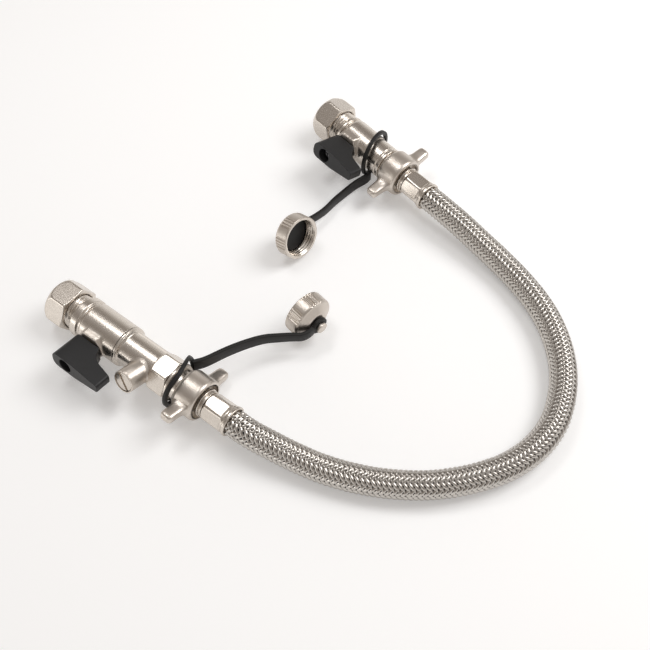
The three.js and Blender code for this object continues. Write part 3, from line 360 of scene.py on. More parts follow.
def material(name, colour, roughness, metallic=0, second=None, patch=120, grain=900,
             bump=0.05, rough_spread=0.08, specular=0.5, wear=0):
    """A surface with colour patches, fine grain in the bump, an uneven gloss and worn edges."""
    made = bpy.data.materials.new(name)
    made.use_nodes = True
    tree = made.node_tree
    shader = tree.nodes["Principled BSDF"]
    shader.inputs["Metallic"].default_value = metallic
    shader.inputs["Specular IOR Level"].default_value = specular
    place = tree.nodes.new("ShaderNodeTexCoord")
    patches = node_of(tree, "ShaderNodeTexNoise", Scale=patch, Detail=4, Roughness=0.55)
    fine = node_of(tree, "ShaderNodeTexNoise", Scale=grain, Detail=6, Roughness=0.6)
    for noise in (patches, fine):
        tree.links.new(place.outputs["Object"], noise.inputs["Vector"])
    mix = tree.nodes.new("ShaderNodeMix")
    mix.data_type = "RGBA"
    mix.inputs["A"].default_value = (*colour, 1)
    mix.inputs["B"].default_value = (*(second or [c * 0.85 for c in colour]), 1)
    tree.links.new(patches.outputs["Fac"], mix.inputs["Factor"])
    finish = mix
    if wear:
        edges = tree.nodes.new("ShaderNodeNewGeometry")
        worn = node_of(tree, "ShaderNodeMapRange")
        worn.inputs["From Min"].default_value = 0.52
        worn.inputs["From Max"].default_value = 0.62
        worn.inputs["To Max"].default_value = wear
        tree.links.new(edges.outputs["Pointiness"], worn.inputs["Value"])
        finish = tree.nodes.new("ShaderNodeMix")
        finish.data_type = "RGBA"
        finish.inputs["B"].default_value = (*[min(1, c * 1.25) for c in colour], 1)
        tree.links.new(worn.outputs["Result"], finish.inputs["Factor"])
        tree.links.new(mix.outputs["Result"], finish.inputs["A"])
    tree.links.new(finish.outputs["Result"], shader.inputs["Base Color"])
    gloss = tree.nodes.new("ShaderNodeMapRange")
    gloss.inputs["To Min"].default_value = roughness - rough_spread
    gloss.inputs["To Max"].default_value = roughness + rough_spread
    tree.links.new(fine.outputs["Fac"], gloss.inputs["Value"])
    tree.links.new(gloss.outputs["Result"], shader.inputs["Roughness"])
    relief = node_of(tree, "ShaderNodeBump", Strength=bump, Distance=0.0002)
    tree.links.new(fine.outputs["Fac"], relief.inputs["Height"])
    tree.links.new(relief.outputs["Normal"], shader.inputs["Normal"])
    return made


NICKEL = material("nickel_plate", (0.71, 0.655, 0.595), 0.27, 1, (0.62, 0.565, 0.505),
                  patch=90, grain=1400, bump=0.06, rough_spread=0.05, wear=0.7)
CAST_NICKEL = material("cast_nickel", (0.68, 0.625, 0.565), 0.36, 1, (0.57, 0.515, 0.46),
                       patch=140, grain=2200, bump=0.3, rough_spread=0.07, wear=0.6)
BRASS = material("brass", (0.78, 0.6, 0.3), 0.3, 1, (0.66, 0.48, 0.22))
CHROME = material("ball_chrome", (0.8, 0.8, 0.81), 0.1, 1, bump=0.01, rough_spread=0.03)
WIRE = material("braid_steel", (0.66, 0.63, 0.59), 0.24, 1, (0.45, 0.42, 0.39),
                patch=300, grain=3000, bump=0.1)
SCREW = material("screw_steel", (0.4, 0.4, 0.41), 0.4, 1, (0.28, 0.28, 0.29), patch=400)
LEVER = material("lever_black", (0.012, 0.012, 0.0125), 0.42, 0, (0.019, 0.019, 0.02),
                 patch=60, grain=1100, bump=0.22, rough_spread=0.06, specular=0.35)
STRAP = material("strap_rubber", (0.01, 0.0095, 0.009), 0.5, 0, (0.016, 0.015, 0.014),
                 patch=80, grain=900, bump=0.12, specular=0.3)
SEAL = material("seal_rubber", (0.012, 0.012, 0.012), 0.6)
SEAT = material("seat_plastic", (0.86, 0.86, 0.83), 0.45)
CHECK = material("check_plastic", (0.8, 0.78, 0.72), 0.4)
FINISHES = {
    "nickel_plate": NICKEL, "brass": BRASS, "ball_chrome": CHROME, "braid_steel": WIRE,
    "screw_steel": SCREW, "lever_black": LEVER, "strap_rubber": STRAP, "seal_rubber": SEAL,
    "seat_plastic": SEAT, "check_plastic": CHECK,
}


def finish_nodes():
    """Gives every node of the frame the finish that the record's slot names."""
    for part in frame["record"]["subparts"]:
        mesh = frame["nodes"][part["node"]].data
        mesh.materials.clear()
        mesh.materials.append(FINISHES[part["material_slot"]])


# Camera, floor and light

def make_camera():
    data = bpy.data.cameras.new("camera")
    data.lens = CAMERA_LENS
    data.sensor_width = CAMERA_SENSOR
    data.sensor_fit = "HORIZONTAL"
    data.clip_start = 0.01
    camera = new_object("camera", data)
    camera.location = from_start(CAMERA_AT)
    looks = from_start(CAMERA_LOOKS_AT) - from_start(CAMERA_AT)
    camera.rotation_euler = looks.to_track_quat("-Z", "Y").to_euler()
    bpy.context.scene.camera = camera


def area_light(name, at, size, power, colour=(1, 1, 1), looks_at=(0.05, 0, 0)):
    data = bpy.data.lights.new(name, "AREA")
    data.shape = "RECTANGLE"
    data.size, data.size_y = size
    data.energy = power
    data.color = colour
    lamp = new_object(name, data)
    lamp.location = at
    way = Vector(looks_at) - Vector(at)
    lamp.rotation_euler = way.to_track_quat("-Z", "Y").to_euler()


def make_floor():
    """A white sheet that glows a little where the camera or a reflection sees it."""
    mesh = bpy.data.meshes.new("floor")
    corners = [(FLOOR_REACH * x, FLOOR_REACH * y, -FLOOR_DROP)
               for x, y in ((-1, -1), (1, -1), (1, 1), (-1, 1))]
    mesh.from_pydata(corners, [], [(0, 1, 2, 3)])
    floor = new_object("floor", mesh)
    surface = bpy.data.materials.new("floor_white")
    surface.use_nodes = True
    tree = surface.node_tree
    shader = tree.nodes["Principled BSDF"]
    shader.inputs["Base Color"].default_value = (0.86, 0.86, 0.86, 1)
    shader.inputs["Roughness"].default_value = 0.7
    path = tree.nodes.new("ShaderNodeLightPath")
    seen = path.outputs["Is Camera Ray"]
    for ray in ("Is Glossy Ray", "Is Transmission Ray"):
        either = node_of(tree, "ShaderNodeMath")
        either.operation = "MAXIMUM"
        tree.links.new(seen, either.inputs[0])
        tree.links.new(path.outputs[ray], either.inputs[1])
        seen = either.outputs[0]
    glow = node_of(tree, "ShaderNodeMath")
    glow.operation = "MULTIPLY"
    glow.inputs[1].default_value = FLOOR_GLOW
    tree.links.new(seen, glow.inputs[0])
    shader.inputs["Emission Color"].default_value = (1, 1, 1, 1)
    tree.links.new(glow.outputs[0], shader.inputs["Emission Strength"])
    mesh.materials.append(surface)


def make_world():
    """Light and reflections see it pale at the horizon and grey higher up, the camera plain."""
    world = bpy.data.worlds.new("studio")
    bpy.context.scene.world = world
    world.use_nodes = True
    tree = world.node_tree
    tree.nodes.clear()
    place = tree.nodes.new("ShaderNodeTexCoord")
    split = tree.nodes.new("ShaderNodeSeparateXYZ")
    tree.links.new(place.outputs["Generated"], split.inputs["Vector"])
    ramp = tree.nodes.new("ShaderNodeValToRGB")
    stops = ramp.color_ramp.elements
    stops[0].position, stops[-1].position = SKY[0][0], SKY[-1][0]
    for position, _ in SKY[1:-1]:
        stops.new(position)
    for stop, (_, colour) in zip(stops, SKY):
        stop.color = (*colour, 1)
    tree.links.new(split.outputs["Z"], ramp.inputs["Fac"])
    studio = node_of(tree, "ShaderNodeBackground", Strength=1)
    tree.links.new(ramp.outputs["Color"], studio.inputs["Color"])
    plain = node_of(tree, "ShaderNodeBackground", Strength=1)
    path = tree.nodes.new("ShaderNodeLightPath")
    mix = tree.nodes.new("ShaderNodeMixShader")
    output = tree.nodes.new("ShaderNodeOutputWorld")
    tree.links.new(path.outputs["Is Camera Ray"], mix.inputs[0])
    tree.links.new(studio.outputs[0], mix.inputs[1])
    tree.links.new(plain.outputs[0], mix.inputs[2])
    tree.links.new(mix.outputs[0], output.inputs["Surface"])


def make_studio():
    bpy.context.scene.view_settings.view_transform = "Standard"
    make_camera()
    make_floor()
    make_world()
    area_light("key", (0.4, 0.5, 0.75), (0.5, 0.5), 4.6)
    area_light("overhead", (-0.32, 0.08, 0.78), (0.3, 0.2), 1.1)
    area_light("front", (-0.45, -0.75, 0.12), (0.5, 0.16), 0.5, (1, 0.99, 0.97))


# Routes

def smooth_route(points, spacing):
    """A Catmull-Rom curve through the points, as evenly spaced places in millimetres."""
    ends = [2 * points[0] - points[1], *points, 2 * points[-1] - points[-2]]
    fine = []
    for a, b, c, d in zip(ends, ends[1:], ends[2:], ends[3:]):
        for share in np.linspace(0, 1, 24, endpoint=False):
            fine.append(0.5 * (2 * b + (c - a) * share + (2 * a - 5 * b + 4 * c - d) * share**2
                               + (3 * b - a - 3 * c + d) * share**3))
    fine.append(points[-1])
    fine = np.array(fine)
    run = np.concatenate([[0], np.cumsum(np.linalg.norm(np.diff(fine, axis=0), axis=1))])
    count = max(2, round(run[-1] / spacing))
    even = np.linspace(0, run[-1], count + 1)
    return np.stack([np.interp(even, run, fine[:, i]) for i in range(3)], axis=1), run[-1]


def frames_along(path):
    """Tangent, level side and third direction at each point of a path that never stands upright."""
    along = np.gradient(path, axis=0)
    along /= np.linalg.norm(along, axis=1)[:, None]
    side = np.cross([0, 0, 1], along)
    side /= np.linalg.norm(side, axis=1)[:, None]
    return along, side, np.cross(along, side)


# Hose

def hose_core(path):
    """The tube under the weave, with its bore and both ends."""
    _, side, up = frames_along(path)
    columns = 32
    points = []
    outside = HOSE_LINER / 2
    order = [(index, outside) for index in range(len(path))]
    order += [(index, outside - HOSE_WALL) for index in reversed(range(len(path)))]
    for index, radius in order:
        for column in range(columns):
            angle = column * TAU / columns
            points.append(path[index] + radius * (math.cos(angle) * side[index]
                                                  + math.sin(angle) * up[index]))
    return points, grid_faces(len(order), columns, close_rows=True)


def braid(path, length, hand):
    """One direction of the weave: flat bundles of wires that pass over two and under two."""
    turns = length / BRAID_LEAD
    crossings = 2 * BRAID_CARRIERS * turns
    count = int(crossings * BRAID_STEPS_A_CROSSING)
    even = np.linspace(0, len(path) - 1, count + 1)
    index = np.arange(len(path))
    centre = np.stack([np.interp(even, index, path[:, i]) for i in range(3)], axis=1)
    _, side, up = frames_along(centre)
    share = np.linspace(0, 1, count + 1)
    pitch_angle = math.atan2(math.pi * HOSE_DIAMETER, BRAID_LEAD)
    width = BRAID_COVER * BRAID_LEAD / BRAID_CARRIERS * math.sin(pitch_angle)
    across = np.linspace(-0.5, 0.5, 2 * BRAID_WIRES + 1)
    ridge = np.where(np.arange(len(across)) % 2 == 1, BRAID_RIDGE, 0)
    ridge = ridge - BRAID_CROWN * (2 * across) ** 2
    middle = HOSE_DIAMETER / 2 - BRAID_WAVE - BRAID_RIDGE
    points = []
    faces = []
    lanes = len(across)
    for carrier in range(BRAID_CARRIERS):
        turn = hand * TAU * turns * share + TAU * carrier / BRAID_CARRIERS
        passed = math.pi * (share * crossings / 2 + carrier * hand)
        wave = BRAID_WAVE * np.clip(1.25 * np.cos(passed + (hand - 1) * math.pi / 2), -1, 1)
        first = len(points)
        for step in range(count + 1):
            for lane in range(lanes):
                off = across[lane] * width / (HOSE_DIAMETER / 2) * math.cos(pitch_angle) * hand
                slide = -across[lane] * width * math.sin(pitch_angle)
                angle = turn[step] + off
                radius = middle + wave[step] + ridge[lane]
                out = math.cos(angle) * side[step] + math.sin(angle) * up[step]
                ahead = centre[min(step + 1, count)] - centre[max(step - 1, 0)]
                ahead = ahead / np.linalg.norm(ahead)
                points.append(centre[step] + radius * out + slide * ahead)
        for step in range(count):
            for lane in range(lanes - 1):
                corner = first + step * lanes + lane
                faces.append((corner, corner + 1, corner + lanes + 1, corner + lanes))
    return points, faces


def hose_route():
    """The centreline's points in metres, straight out of each ferrule at both ends."""
    ends = []
    for side in ("inlet", "outlet"):
        place = valve_place(side)
        exit_at = span(f"{side}_ferrule", place)[1] + HOSE_GAP
        ends.append([place @ Vector((exit_at + run, 0, 0)) for run in (0, HOSE_STRAIGHT)])
    start = joint_at("inlet_compression_nut_spin")
    lies = [Vector((start.x, start.y, 0)) + Vector(point) * MM for point in HOSE_ROUTE]
    return [*ends[0], *lies, *reversed(ends[1])]


def make_hose():
    route = [np.array(point) / MM for point in hose_route()]
    path, length = smooth_route(route, 3)
    metres = Matrix.Scale(MM, 4)
    points, faces = hose_core(path)
    core = add_piece("hose_core", points, faces, metres, SEAL, "valves",
                     ["hose_liner", "hose_braid"])
    for name, hand in (("braid_right", 1), ("braid_left", -1)):
        points, faces = braid(path, length, hand)
        add_piece(name, points, faces, metres, WIRE, "valves", sharp=80)


# Compression nuts

def make_nut(side):
    node = f"{side}_compression_nut"
    place = valve_place(side)
    end = span(node, place)[1]
    corner = NUT_FLATS / math.sqrt(3) + 0.1
    outer = [(0.0, NUT_FACE)]
    for step in range(1, NUT_DOME_STEPS + 1):
        angle = step / NUT_DOME_STEPS * math.pi / 2
        outer.append((NUT_DOME * (1 - math.cos(angle)),
                      NUT_FACE + (corner - NUT_FACE) * math.sin(angle)))
    outer += [(end - 1, corner), (end, 11.2, 0.4), (end, 10.6)]
    inner = [(end - 0.6, 10), (5, 10), (3.6, 8.9), (2.2, 8.4), (2.2, PIPE_BORE), (0.7, PIPE_BORE),
             (0, 8.3)]

    def shape(x, angles, radii):
        return soft_min(radii, hexagon(angles, NUT_FLATS, NUT_TURN[side]))

    points, faces = spun(outer, inner, columns=240, shape=shape, step=0.35)
    add_piece(f"{side}_pipe_nut", points, faces, place, NICKEL, f"{side}_nut", [node])


# Valve bodies

def boss_points(middle, reach, radius_of, pipe, tilt, fillet=1.1, top_edge=0.9, columns=120,
                bore=STEM_HOLE):
    """A boss that stands on a round body and flows into it, as a grid from its bore to its foot."""
    turn = Matrix.Rotation(math.radians(90 - tilt), 4, "X")
    angles = np.arange(columns) * TAU / columns
    radii = radius_of(angles)
    rows = [(np.full(columns, bore), np.full(columns, reach - BOSS_BORE_DEPTH)),
            (np.full(columns, bore), np.full(columns, reach)),
            (radii - top_edge, np.full(columns, reach))]
    for step in range(1, 4):
        angle = step / 4 * math.pi / 2
        rows.append((radii - top_edge * (1 - math.sin(angle)),
                     np.full(columns, reach - top_edge * (1 - math.cos(angle)))))
    for step in range(7):
        angle = step / 6 * math.pi / 2
        spread = radii + fillet * (1 - math.cos(angle))
        across = np.clip(np.abs(spread * np.sin(angles)), 0, pipe - 0.2)
        rows.append((spread, np.sqrt(pipe**2 - across**2) + fillet * (1 - math.sin(angle)) - 0.03))
    points = []
    for radial, height in rows:
        for angle, r, h in zip(angles, radial, height):
            local = turn @ Vector((r * math.cos(angle), r * math.sin(angle), h))
            points.append((middle + local.x, local.y, local.z))
    return points, grid_faces(len(rows), columns, close_rows=False)


def make_boss(side, pipe):
    place = valve_place(side)
    inverse = place.inverted()
    middle = (inverse @ joint_at(f"{side}_handle_turn")).x
    axis = inverse.to_3x3() @ Vector(JOINTS[f"{side}_handle_turn"]["axis"])
    tilt = math.degrees(math.asin(axis.normalized().z))
    points, faces = boss_points(middle, BOSS_REACH, lambda angles: hexagon(angles, BOSS_FLATS),
                                pipe, tilt)
    add_piece(f"{side}_stem_boss", points, faces, place, CAST_NICKEL, "valves")


def make_inlet_body():
    place = valve_place("inlet")
    nut_end = span("inlet_compression_nut", place)[1]
    start = span("inlet_valve_body", place)[0]
    seam = span("check_valve_body", place)[0] + CHECK_FLANGE - SEAM_GAP
    collar = nut_end + 4.7
    section = collar + 6.4
    radius = 11.4
    outer = [
        (start, 9.2), (start + 0.5, PIPE_THREAD, 0.2), (nut_end + 4.2, PIPE_THREAD, 0.1),
        (nut_end + 4.3, 8.8, 0.1), (collar, 8.8, 0.1), (collar, 11.2, 0.5),
        (collar + 0.5, 11.6, 0.3), (collar + 4.4, 11.6, 0.4), (collar + 4.9, 10.6, 0.3),
        (section - 0.2, 10.6, 0.3), (section + 0.5, radius, 0.4), (seam - 0.1, radius, 0.15),
        (seam, radius - 0.15, 0.1), (seam, 8.8),
    ]
    inner = [(seam, 8.7), (collar + 8.3, 8.7), (collar + 8.3, 5), (17, 5), (17, PIPE_BORE),
             (start, PIPE_BORE)]

    def shape(x, angles, radii):
        return threaded(x, angles, radii, start + 0.6, nut_end + 4.3)

    points, faces = spun(outer, inner, columns=144, shape=shape, step=0.3)
    add_piece("inlet_body", points, faces, place, NICKEL, "valves", ["inlet_valve_body"])
    make_boss("inlet", radius)


def make_check_body():
    place = valve_place("inlet")
    start, end = span("check_valve_body", place)
    flange = start + CHECK_FLANGE
    section = start + CHECK_SECTION
    wrench = section + 20.4
    ring = wrench + 11
    neck = ring + 1.8
    thread = neck + 4.6
    pipe = 9.8
    outer = [
        (flange, 8.4), (flange, 11.25, 0.1), (flange + 0.1, 11.4, 0.1), (section - 1.5, 11.4, 0.2),
        (section - 1.2, 10.9, 0.2), (section - 0.8, 10.9, 0.1), (section - 0.7, 11.2, 0.3),
        (section, pipe, 0.6), (wrench, pipe, 0.2), (wrench + 1.4, 11.5, 0.5),
        (ring - 0.8, 11.5, 0.4), (ring, 10.3, 0.3), (ring + 0.1, 8.8, 0.1),
        (ring + 0.4, 8.8, 0.1), (ring + 0.4, 10.6, 0.3), (neck, 10.6, 0.3), (neck, 8.7, 0.1),
        (thread, 8.7, 0.1), (thread, HOSE_THREAD, 0.1), (end - 0.6, HOSE_THREAD, 0.2),
        (end, HOSE_THREAD - 0.6), (end, 7.4),
    ]
    inner = [(end, 7.3), (flange + 2, 7.3), (flange + 2, 5), (flange, 5)]

    def shape(x, angles, radii):
        if wrench - 0.2 < x < ring:
            return soft_min(radii, hexagon(angles, 20), 0.1)
        return threaded(x, angles, radii, thread + 0.2, end)

    points, faces = spun(outer, inner, columns=180, shape=shape, step=0.4)
    add_piece("check_body", points, faces, place, NICKEL, "valves", ["check_valve_body"])
    points, faces = boss_points(start + TEST_MIDDLE, TEST_BOSS_REACH,
                                lambda angles: np.full(len(angles), TEST_BOSS), pipe, TEST_TILT,
                                fillet=1.4, top_edge=0.3, columns=72, bore=TEST_HEAD + 0.15)
    add_piece("test_boss", points, faces, place, CAST_NICKEL, "valves")


def make_outlet_body():
    place = valve_place("outlet")
    nut_end = span("outlet_compression_nut", place)[1]
    start, end = span("outlet_valve_body", place)
    collar = nut_end + 5.9
    section = collar + 2.4
    neck = section + 20.4
    thread = span("outlet_wing_nut", place)[0] - 0.3
    radius = 10.5
    outer = [
        (start, 9.2), (start + 0.5, PIPE_THREAD, 0.2), (nut_end + 5.4, PIPE_THREAD, 0.1),
        (nut_end + 5.5, 8.8, 0.1), (collar, 8.8, 0.1), (collar, 10.3, 0.3),
        (collar + 1.6, 10.3, 0.3), (collar + 1.8, 9.4, 0.2), (section - 0.2, 9.4, 0.2),
        (section, 9.6, 0.2), (section + 2, radius, 0.8), (neck - 1.6, radius, 0.8),
        (neck, 9.8, 0.6), (thread - 4.4, 9.8, 0.3), (thread - 4.0, 9.2, 0.2),
        (thread - 3.2, 9.2, 0.2), (thread - 2.8, 9.8, 0.3), (thread - 1.4, 9.8, 0.3),
        (thread - 1, 8.8, 0.2), (thread, 8.8, 0.1), (thread, HOSE_THREAD, 0.1),
        (end - 0.6, HOSE_THREAD, 0.2), (end, HOSE_THREAD - 0.6), (end, 8.8),
    ]
    inner = [(end, 8.7), (collar + 1.7, 8.7), (collar + 1.7, 5), (17, 5), (17, PIPE_BORE),
             (start, PIPE_BORE)]

    def shape(x, angles, radii):
        if x < collar:
            return threaded(x, angles, radii, start + 0.6, nut_end + 5.5)
        return threaded(x, angles, radii, thread + 0.2, end)

    points, faces = spun(outer, inner, columns=144, shape=shape, step=0.3)
    add_piece("outlet_body", points, faces, place, NICKEL, "valves", ["outlet_valve_body"])
    make_boss("outlet", radius)


# Test plug

def make_test_plug():
    place = valve_place("inlet")
    middle = span("check_valve_body", place)[0] + TEST_MIDDLE
    tilted = Matrix.Rotation(math.radians(90 - TEST_TILT), 4, "X")
    turn = Matrix.Translation((middle, 0, 0)) @ tilted
    up = turn @ Matrix.Rotation(-math.pi / 2, 4, "Y")
    outer = [(10.8, 0.01), (10.8, 3.3), (18.4, 3.3), (18.4, TEST_HEAD, 0.2), (19.6, TEST_HEAD, 0.4),
             (20.1, TEST_HEAD - 0.5, 0.3), (20.1, 0.01)]
    points, faces = spun(outer, columns=72)
    plug = add_piece("test_screw", points, faces, place @ up, NICKEL, "valves",
                     ["test_plug", "test_plug_seal"])
    slot = turn @ Matrix.Rotation(math.radians(40), 4, "Z")
    cut_box(plug, place @ slot, (-0.75, 0.75), (-8, 8), (18.9, 23))


def cut_box(piece, place, x, y, z):
    """Cuts a box, given by its limits in the place's own frame, out of a piece."""
    corners = [(a, b, c) for a in x for b in y for c in z]
    faces = [(0, 1, 3, 2), (4, 6, 7, 5), (0, 4, 5, 1), (2, 3, 7, 6), (0, 2, 6, 4), (1, 5, 7, 3)]
    cut_mesh(piece, corners, faces, place)


def cut_mesh(piece, points, faces, place):
    """Cuts a closed shape, given in the place's own frame, out of a piece."""
    cutter = new_object("cutter", new_mesh("cutter", points, faces, place))
    add_modifier(piece, "BOOLEAN", operation="DIFFERENCE", object=cutter, solver="EXACT")
    apply_modifiers(piece)
    bpy.data.objects.remove(cutter)


# Levers

def lever_outline():
    """The lever's outline, seen along the stem."""
    half = LEVER_WIDTH / 2
    tip = LEVER_TIP_WIDTH / 2
    side = []
    for step in range(7):
        angle = step / 6 * math.pi / 2
        side.append((-LEVER_HUB + LEVER_CORNER * (1 - math.cos(angle)),
                     half - LEVER_CORNER * (1 - math.sin(angle))))
    side.append((LEVER_HUB * 0.7, half))
    for step in range(5):
        angle = step / 4 * math.pi / 2
        side.append((LEVER_ARM - LEVER_TIP_CORNER * (1 - math.sin(angle)),
                     tip - LEVER_TIP_CORNER * (1 - math.cos(angle))))
    return side + [(x, -y) for x, y in reversed(side)]


def prism(outline, low, high):
    """An outline in X and Y, raised from one height to the other."""
    count = len(outline)
    points = [(x, y, low) for x, y in outline] + [(x, y, high) for x, y in outline]
    faces = [tuple(reversed(range(count))), tuple(range(count, 2 * count))]
    for index in range(count):
        after = (index + 1) % count
        faces.append((index, after, count + after, count + index))
    return points, faces


def lever_notch(inner):
    """The curved step under the arm, beside the boss, as a shape to cut out."""
    start, bend, end = ((LEVER_HUB * 0.8, inner - 1), (LEVER_HUB, inner + 0.9 * LEVER_NOTCH),
                        (LEVER_HUB * 1.7, inner + LEVER_NOTCH))
    notch = []
    for step in range(11):
        t = step / 10
        notch.append(tuple((1 - t) ** 2 * a + 2 * t * (1 - t) * b + t * t * c
                           for a, b, c in zip(start, bend, end)))
    notch += [(LEVER_ARM + 2, inner + LEVER_NOTCH + 1.6), (LEVER_ARM + 2, inner - 1)]
    across = LEVER_WIDTH
    points = [(x, -across, z) for x, z in notch] + [(x, across, z) for x, z in notch]
    count = len(notch)
    faces = [tuple(range(count)), tuple(reversed(range(count, 2 * count)))]
    for index in range(count):
        after = (index + 1) % count
        faces.append((after, index, count + index, count + after))
    return points, faces


def round_hole(low, high, radius, columns):
    return spun([(low, 0.01), (low, radius), (high, radius), (high, 0.01)], columns=columns)


def make_lever(side):
    place = lever_place(side)
    inner = BOSS_REACH + 0.4
    points, faces = prism(lever_outline(), inner, LEVER_REACH)
    lever = add_piece(f"{side}_lever_arm", points, faces, place, LEVER, f"{side}_lever",
                      [f"{side}_handle"], sharp=30)
    cut_mesh(lever, *lever_notch(inner), place)
    upright = place @ Matrix.Rotation(-math.pi / 2, 4, "Y")
    floor = LEVER_REACH - RECESS_DEPTH
    cut_mesh(lever, *round_hole(floor, LEVER_REACH + 2, RECESS, 48), upright)
    cut_mesh(lever, *round_hole(inner - 2, STEM_HOLE_END, STEM_HOLE, 24), upright)
    lever.data.shade_smooth()
    lever.data.set_sharp_from_angle(angle=math.radians(30))
    add_modifier(lever, "BEVEL", width=LEVER_EDGE * MM, segments=3, limit_method="ANGLE",
                 angle_limit=math.radians(32), harden_normals=False)
    add_modifier(lever, "WEIGHTED_NORMAL", keep_sharp=False)
    make_lever_screw(side, upright, floor)


def make_lever_screw(side, upright, floor):
    seat = floor + 0.3
    top = seat + 2.4
    outer = [(16, 0.01), (16, 2), (seat, 2), (seat, 3.2, 0.2), (top - 0.9, 3.2, 0.5), (top, 2, 0.6),
             (top, 0.01)]
    points, faces = spun(outer, columns=48)
    screw = add_piece(f"{side}_lever_screw", points, faces, upright, SCREW, f"{side}_lever",
                      [f"{side}_handle_screw"])
    flat = upright @ Matrix.Rotation(math.pi / 2, 4, "Y")
    for x, y in ((2, SCREW_SLOT), (SCREW_SLOT, 2)):
        cut_box(screw, flat, (-x, x), (-y, y), (top - 1.5, top + 2))


# Hose connections

def wing_turn(side):
    """How far the wings stand round the valve's axis, from the node's furthest points."""
    inverse = valve_place(side).inverted()
    local = [inverse @ vertex.co for vertex in frame["nodes"][f"{side}_wing_nut"].data.vertices]
    reach = max(math.hypot(p.y, p.z) for p in local)
    tips = [p for p in local if math.hypot(p.y, p.z) > reach - 0.6 and p.y > 0]
    return math.atan2(sum(p.z for p in tips), sum(p.y for p in tips))


def make_wing_nut(side):
    node = f"{side}_wing_nut"
    place = valve_place(side)
    start, end = span(node, place)
    outer = [(start, 9.5), (start, 10.7, 0.5), (start + 1.3, 11.7, 0.9), (end - 1.4, 11.8, 0.9),
             (end, 11.1, 0.6), (end, 9.5)]
    inner = [(end, 9.6), (end - 2.6, 9.6), (end - 2.6, 6.9), (end - 4.2, 6.9), (end - 4.2, 10.7),
             (start, 10.7)]
    points, faces = spun(outer, [(end, 10.1, 0.2)] + inner + [(start, 10.7)], columns=96)
    add_piece(f"{side}_union_nut", points, faces, place, CAST_NICKEL, f"{side}_wing", [node])
    turn = Matrix.Rotation(wing_turn(side), 4, "X")
    points, faces = wing_points((start + end) / 2)
    for half in (0, 1):
        wing = place @ turn @ Matrix.Rotation(math.pi * half, 4, "X")
        add_piece(f"{side}_wing_{half + 1}", points, faces, wing, CAST_NICKEL, f"{side}_wing",
                  sharp=60)


def wing_points(middle):
    """A cast wing: a blocky section that narrows from the barrel to a rounded end."""
    stations = [(9.8, 6.2, 4.3), (11.2, 5.3, 3.6), (12.2, 4.6, 3.1), (13.4, 4.1, 2.75),
                (15, 3.8, 2.6), (17, 3.65, 2.55), (19, 3.6, 2.55), (20.6, 3.5, 2.5),
                (21.5, 3.3, 2.35), (22.1, 2.85, 2), (22.45, 2.1, 1.5), (22.55, 1.1, 0.8),
                (22.55, 0.01, 0.01)]
    columns = 40
    points = []
    for out, long, thick in stations:
        for column in range(columns):
            angle = column * TAU / columns
            c, s = math.cos(angle), math.sin(angle)
            points.append((middle + long * math.copysign(abs(c) ** 0.6, c), out,
                           thick * math.copysign(abs(s) ** 0.6, s)))
    return points, grid_faces(len(stations), columns, close_rows=False)


def make_tail(side):
    node = f"{side}_hose_tail"
    place = valve_place(side)
    start, end = span(node, place)
    wing_end = span(f"{side}_wing_nut", place)[1]
    ferrule_start = span(f"{side}_ferrule", place)[0]
    outer = [
        (start, 3.4), (start, 10.1, 0.2), (start + 1.5, 10.1, 0.2), (start + 1.5, 6.5, 0.1),
        (wing_end - 0.4, 6.5, 0.2), (wing_end - 0.2, 7.8, 0.3), (wing_end + 1.1, 7.8, 0.3),
        (wing_end + 1.3, 6.9, 0.1), (wing_end + 1.7, 6.9, 0.1), (wing_end + 1.9, 7.5, 0.2),
        (ferrule_start - 0.2, 7.5, 0.2), (ferrule_start - 0.1, 4.7), (end, 4.4), (end, 3.4),
    ]
    inner = [(end, 3.3), (start, 3.3)]
    points, faces = spun(outer, inner, columns=96)
    add_piece(f"{side}_tail", points, faces, place, NICKEL, "valves", [node])


def make_ferrule(side):
    node = f"{side}_ferrule"
    place = valve_place(side)
    start, end = span(node, place)
    flare = 8.3
    outer = [
        (start, 4.9), (start, 7.2, 0.5), (start + 0.7, 7.9, 0.5), (end - 4.4, 8.25, 0.6),
        (end - 2.3, 7.7, 0.8), (end - 1.7, flare, 0.4), (end - 0.2, flare, 0.3),
        (end, flare - 0.5, 0.2), (end, 7.6),
    ]
    inner = [(end, 7.5), (end - 0.7, 7.5), (end - 0.7, 6.9), (end, 6.9), (end, 4.9)]

    def shape(x, angles, radii):
        if x > end - 2.2:
            return radii
        pressed = hexagon(angles, 14.4, 0, 24)
        ease = np.clip((x - (end - 4.6)) / 2.2, 0, 1)
        return soft_min(radii, pressed + 1.2 * ease**2, 0.1)

    points, faces = spun(outer, inner, columns=168, shape=shape, step=0.35)
    add_piece(f"{side}_crimp", points, faces, place, NICKEL, "valves", [node])


# Caps and straps

def grip(x, angles, radii):
    """Four grooves in each of six groups, run out before both edges."""
    if not 0.2 < x < CAP_GRIP - 0.2:
        return radii
    fade = min(1, (x - 0.2) / 0.8, (CAP_GRIP - 0.2 - x) / 0.8)
    group = (angles % (TAU / 6)) / (TAU / 6)
    groove = np.where(group < 0.56, 0.5 - 0.5 * np.cos(group / 0.56 * 4 * TAU), 0)
    return radii - 0.65 * fade * np.clip(groove * 1.4 - 0.2, 0, 1)


def cap_thread(x, angles, radii):
    """The thread inside a cap, from behind its mouth to its washer."""
    if not 0.6 < x < 6.6:
        return radii
    wave = np.abs(2 * ((x / THREAD_PITCH - angles / TAU) % 1) - 1)
    return radii - THREAD_DEPTH * 0.8 * min(1, (x - 0.6) / 0.6, (6.6 - x) / 0.6) * wave


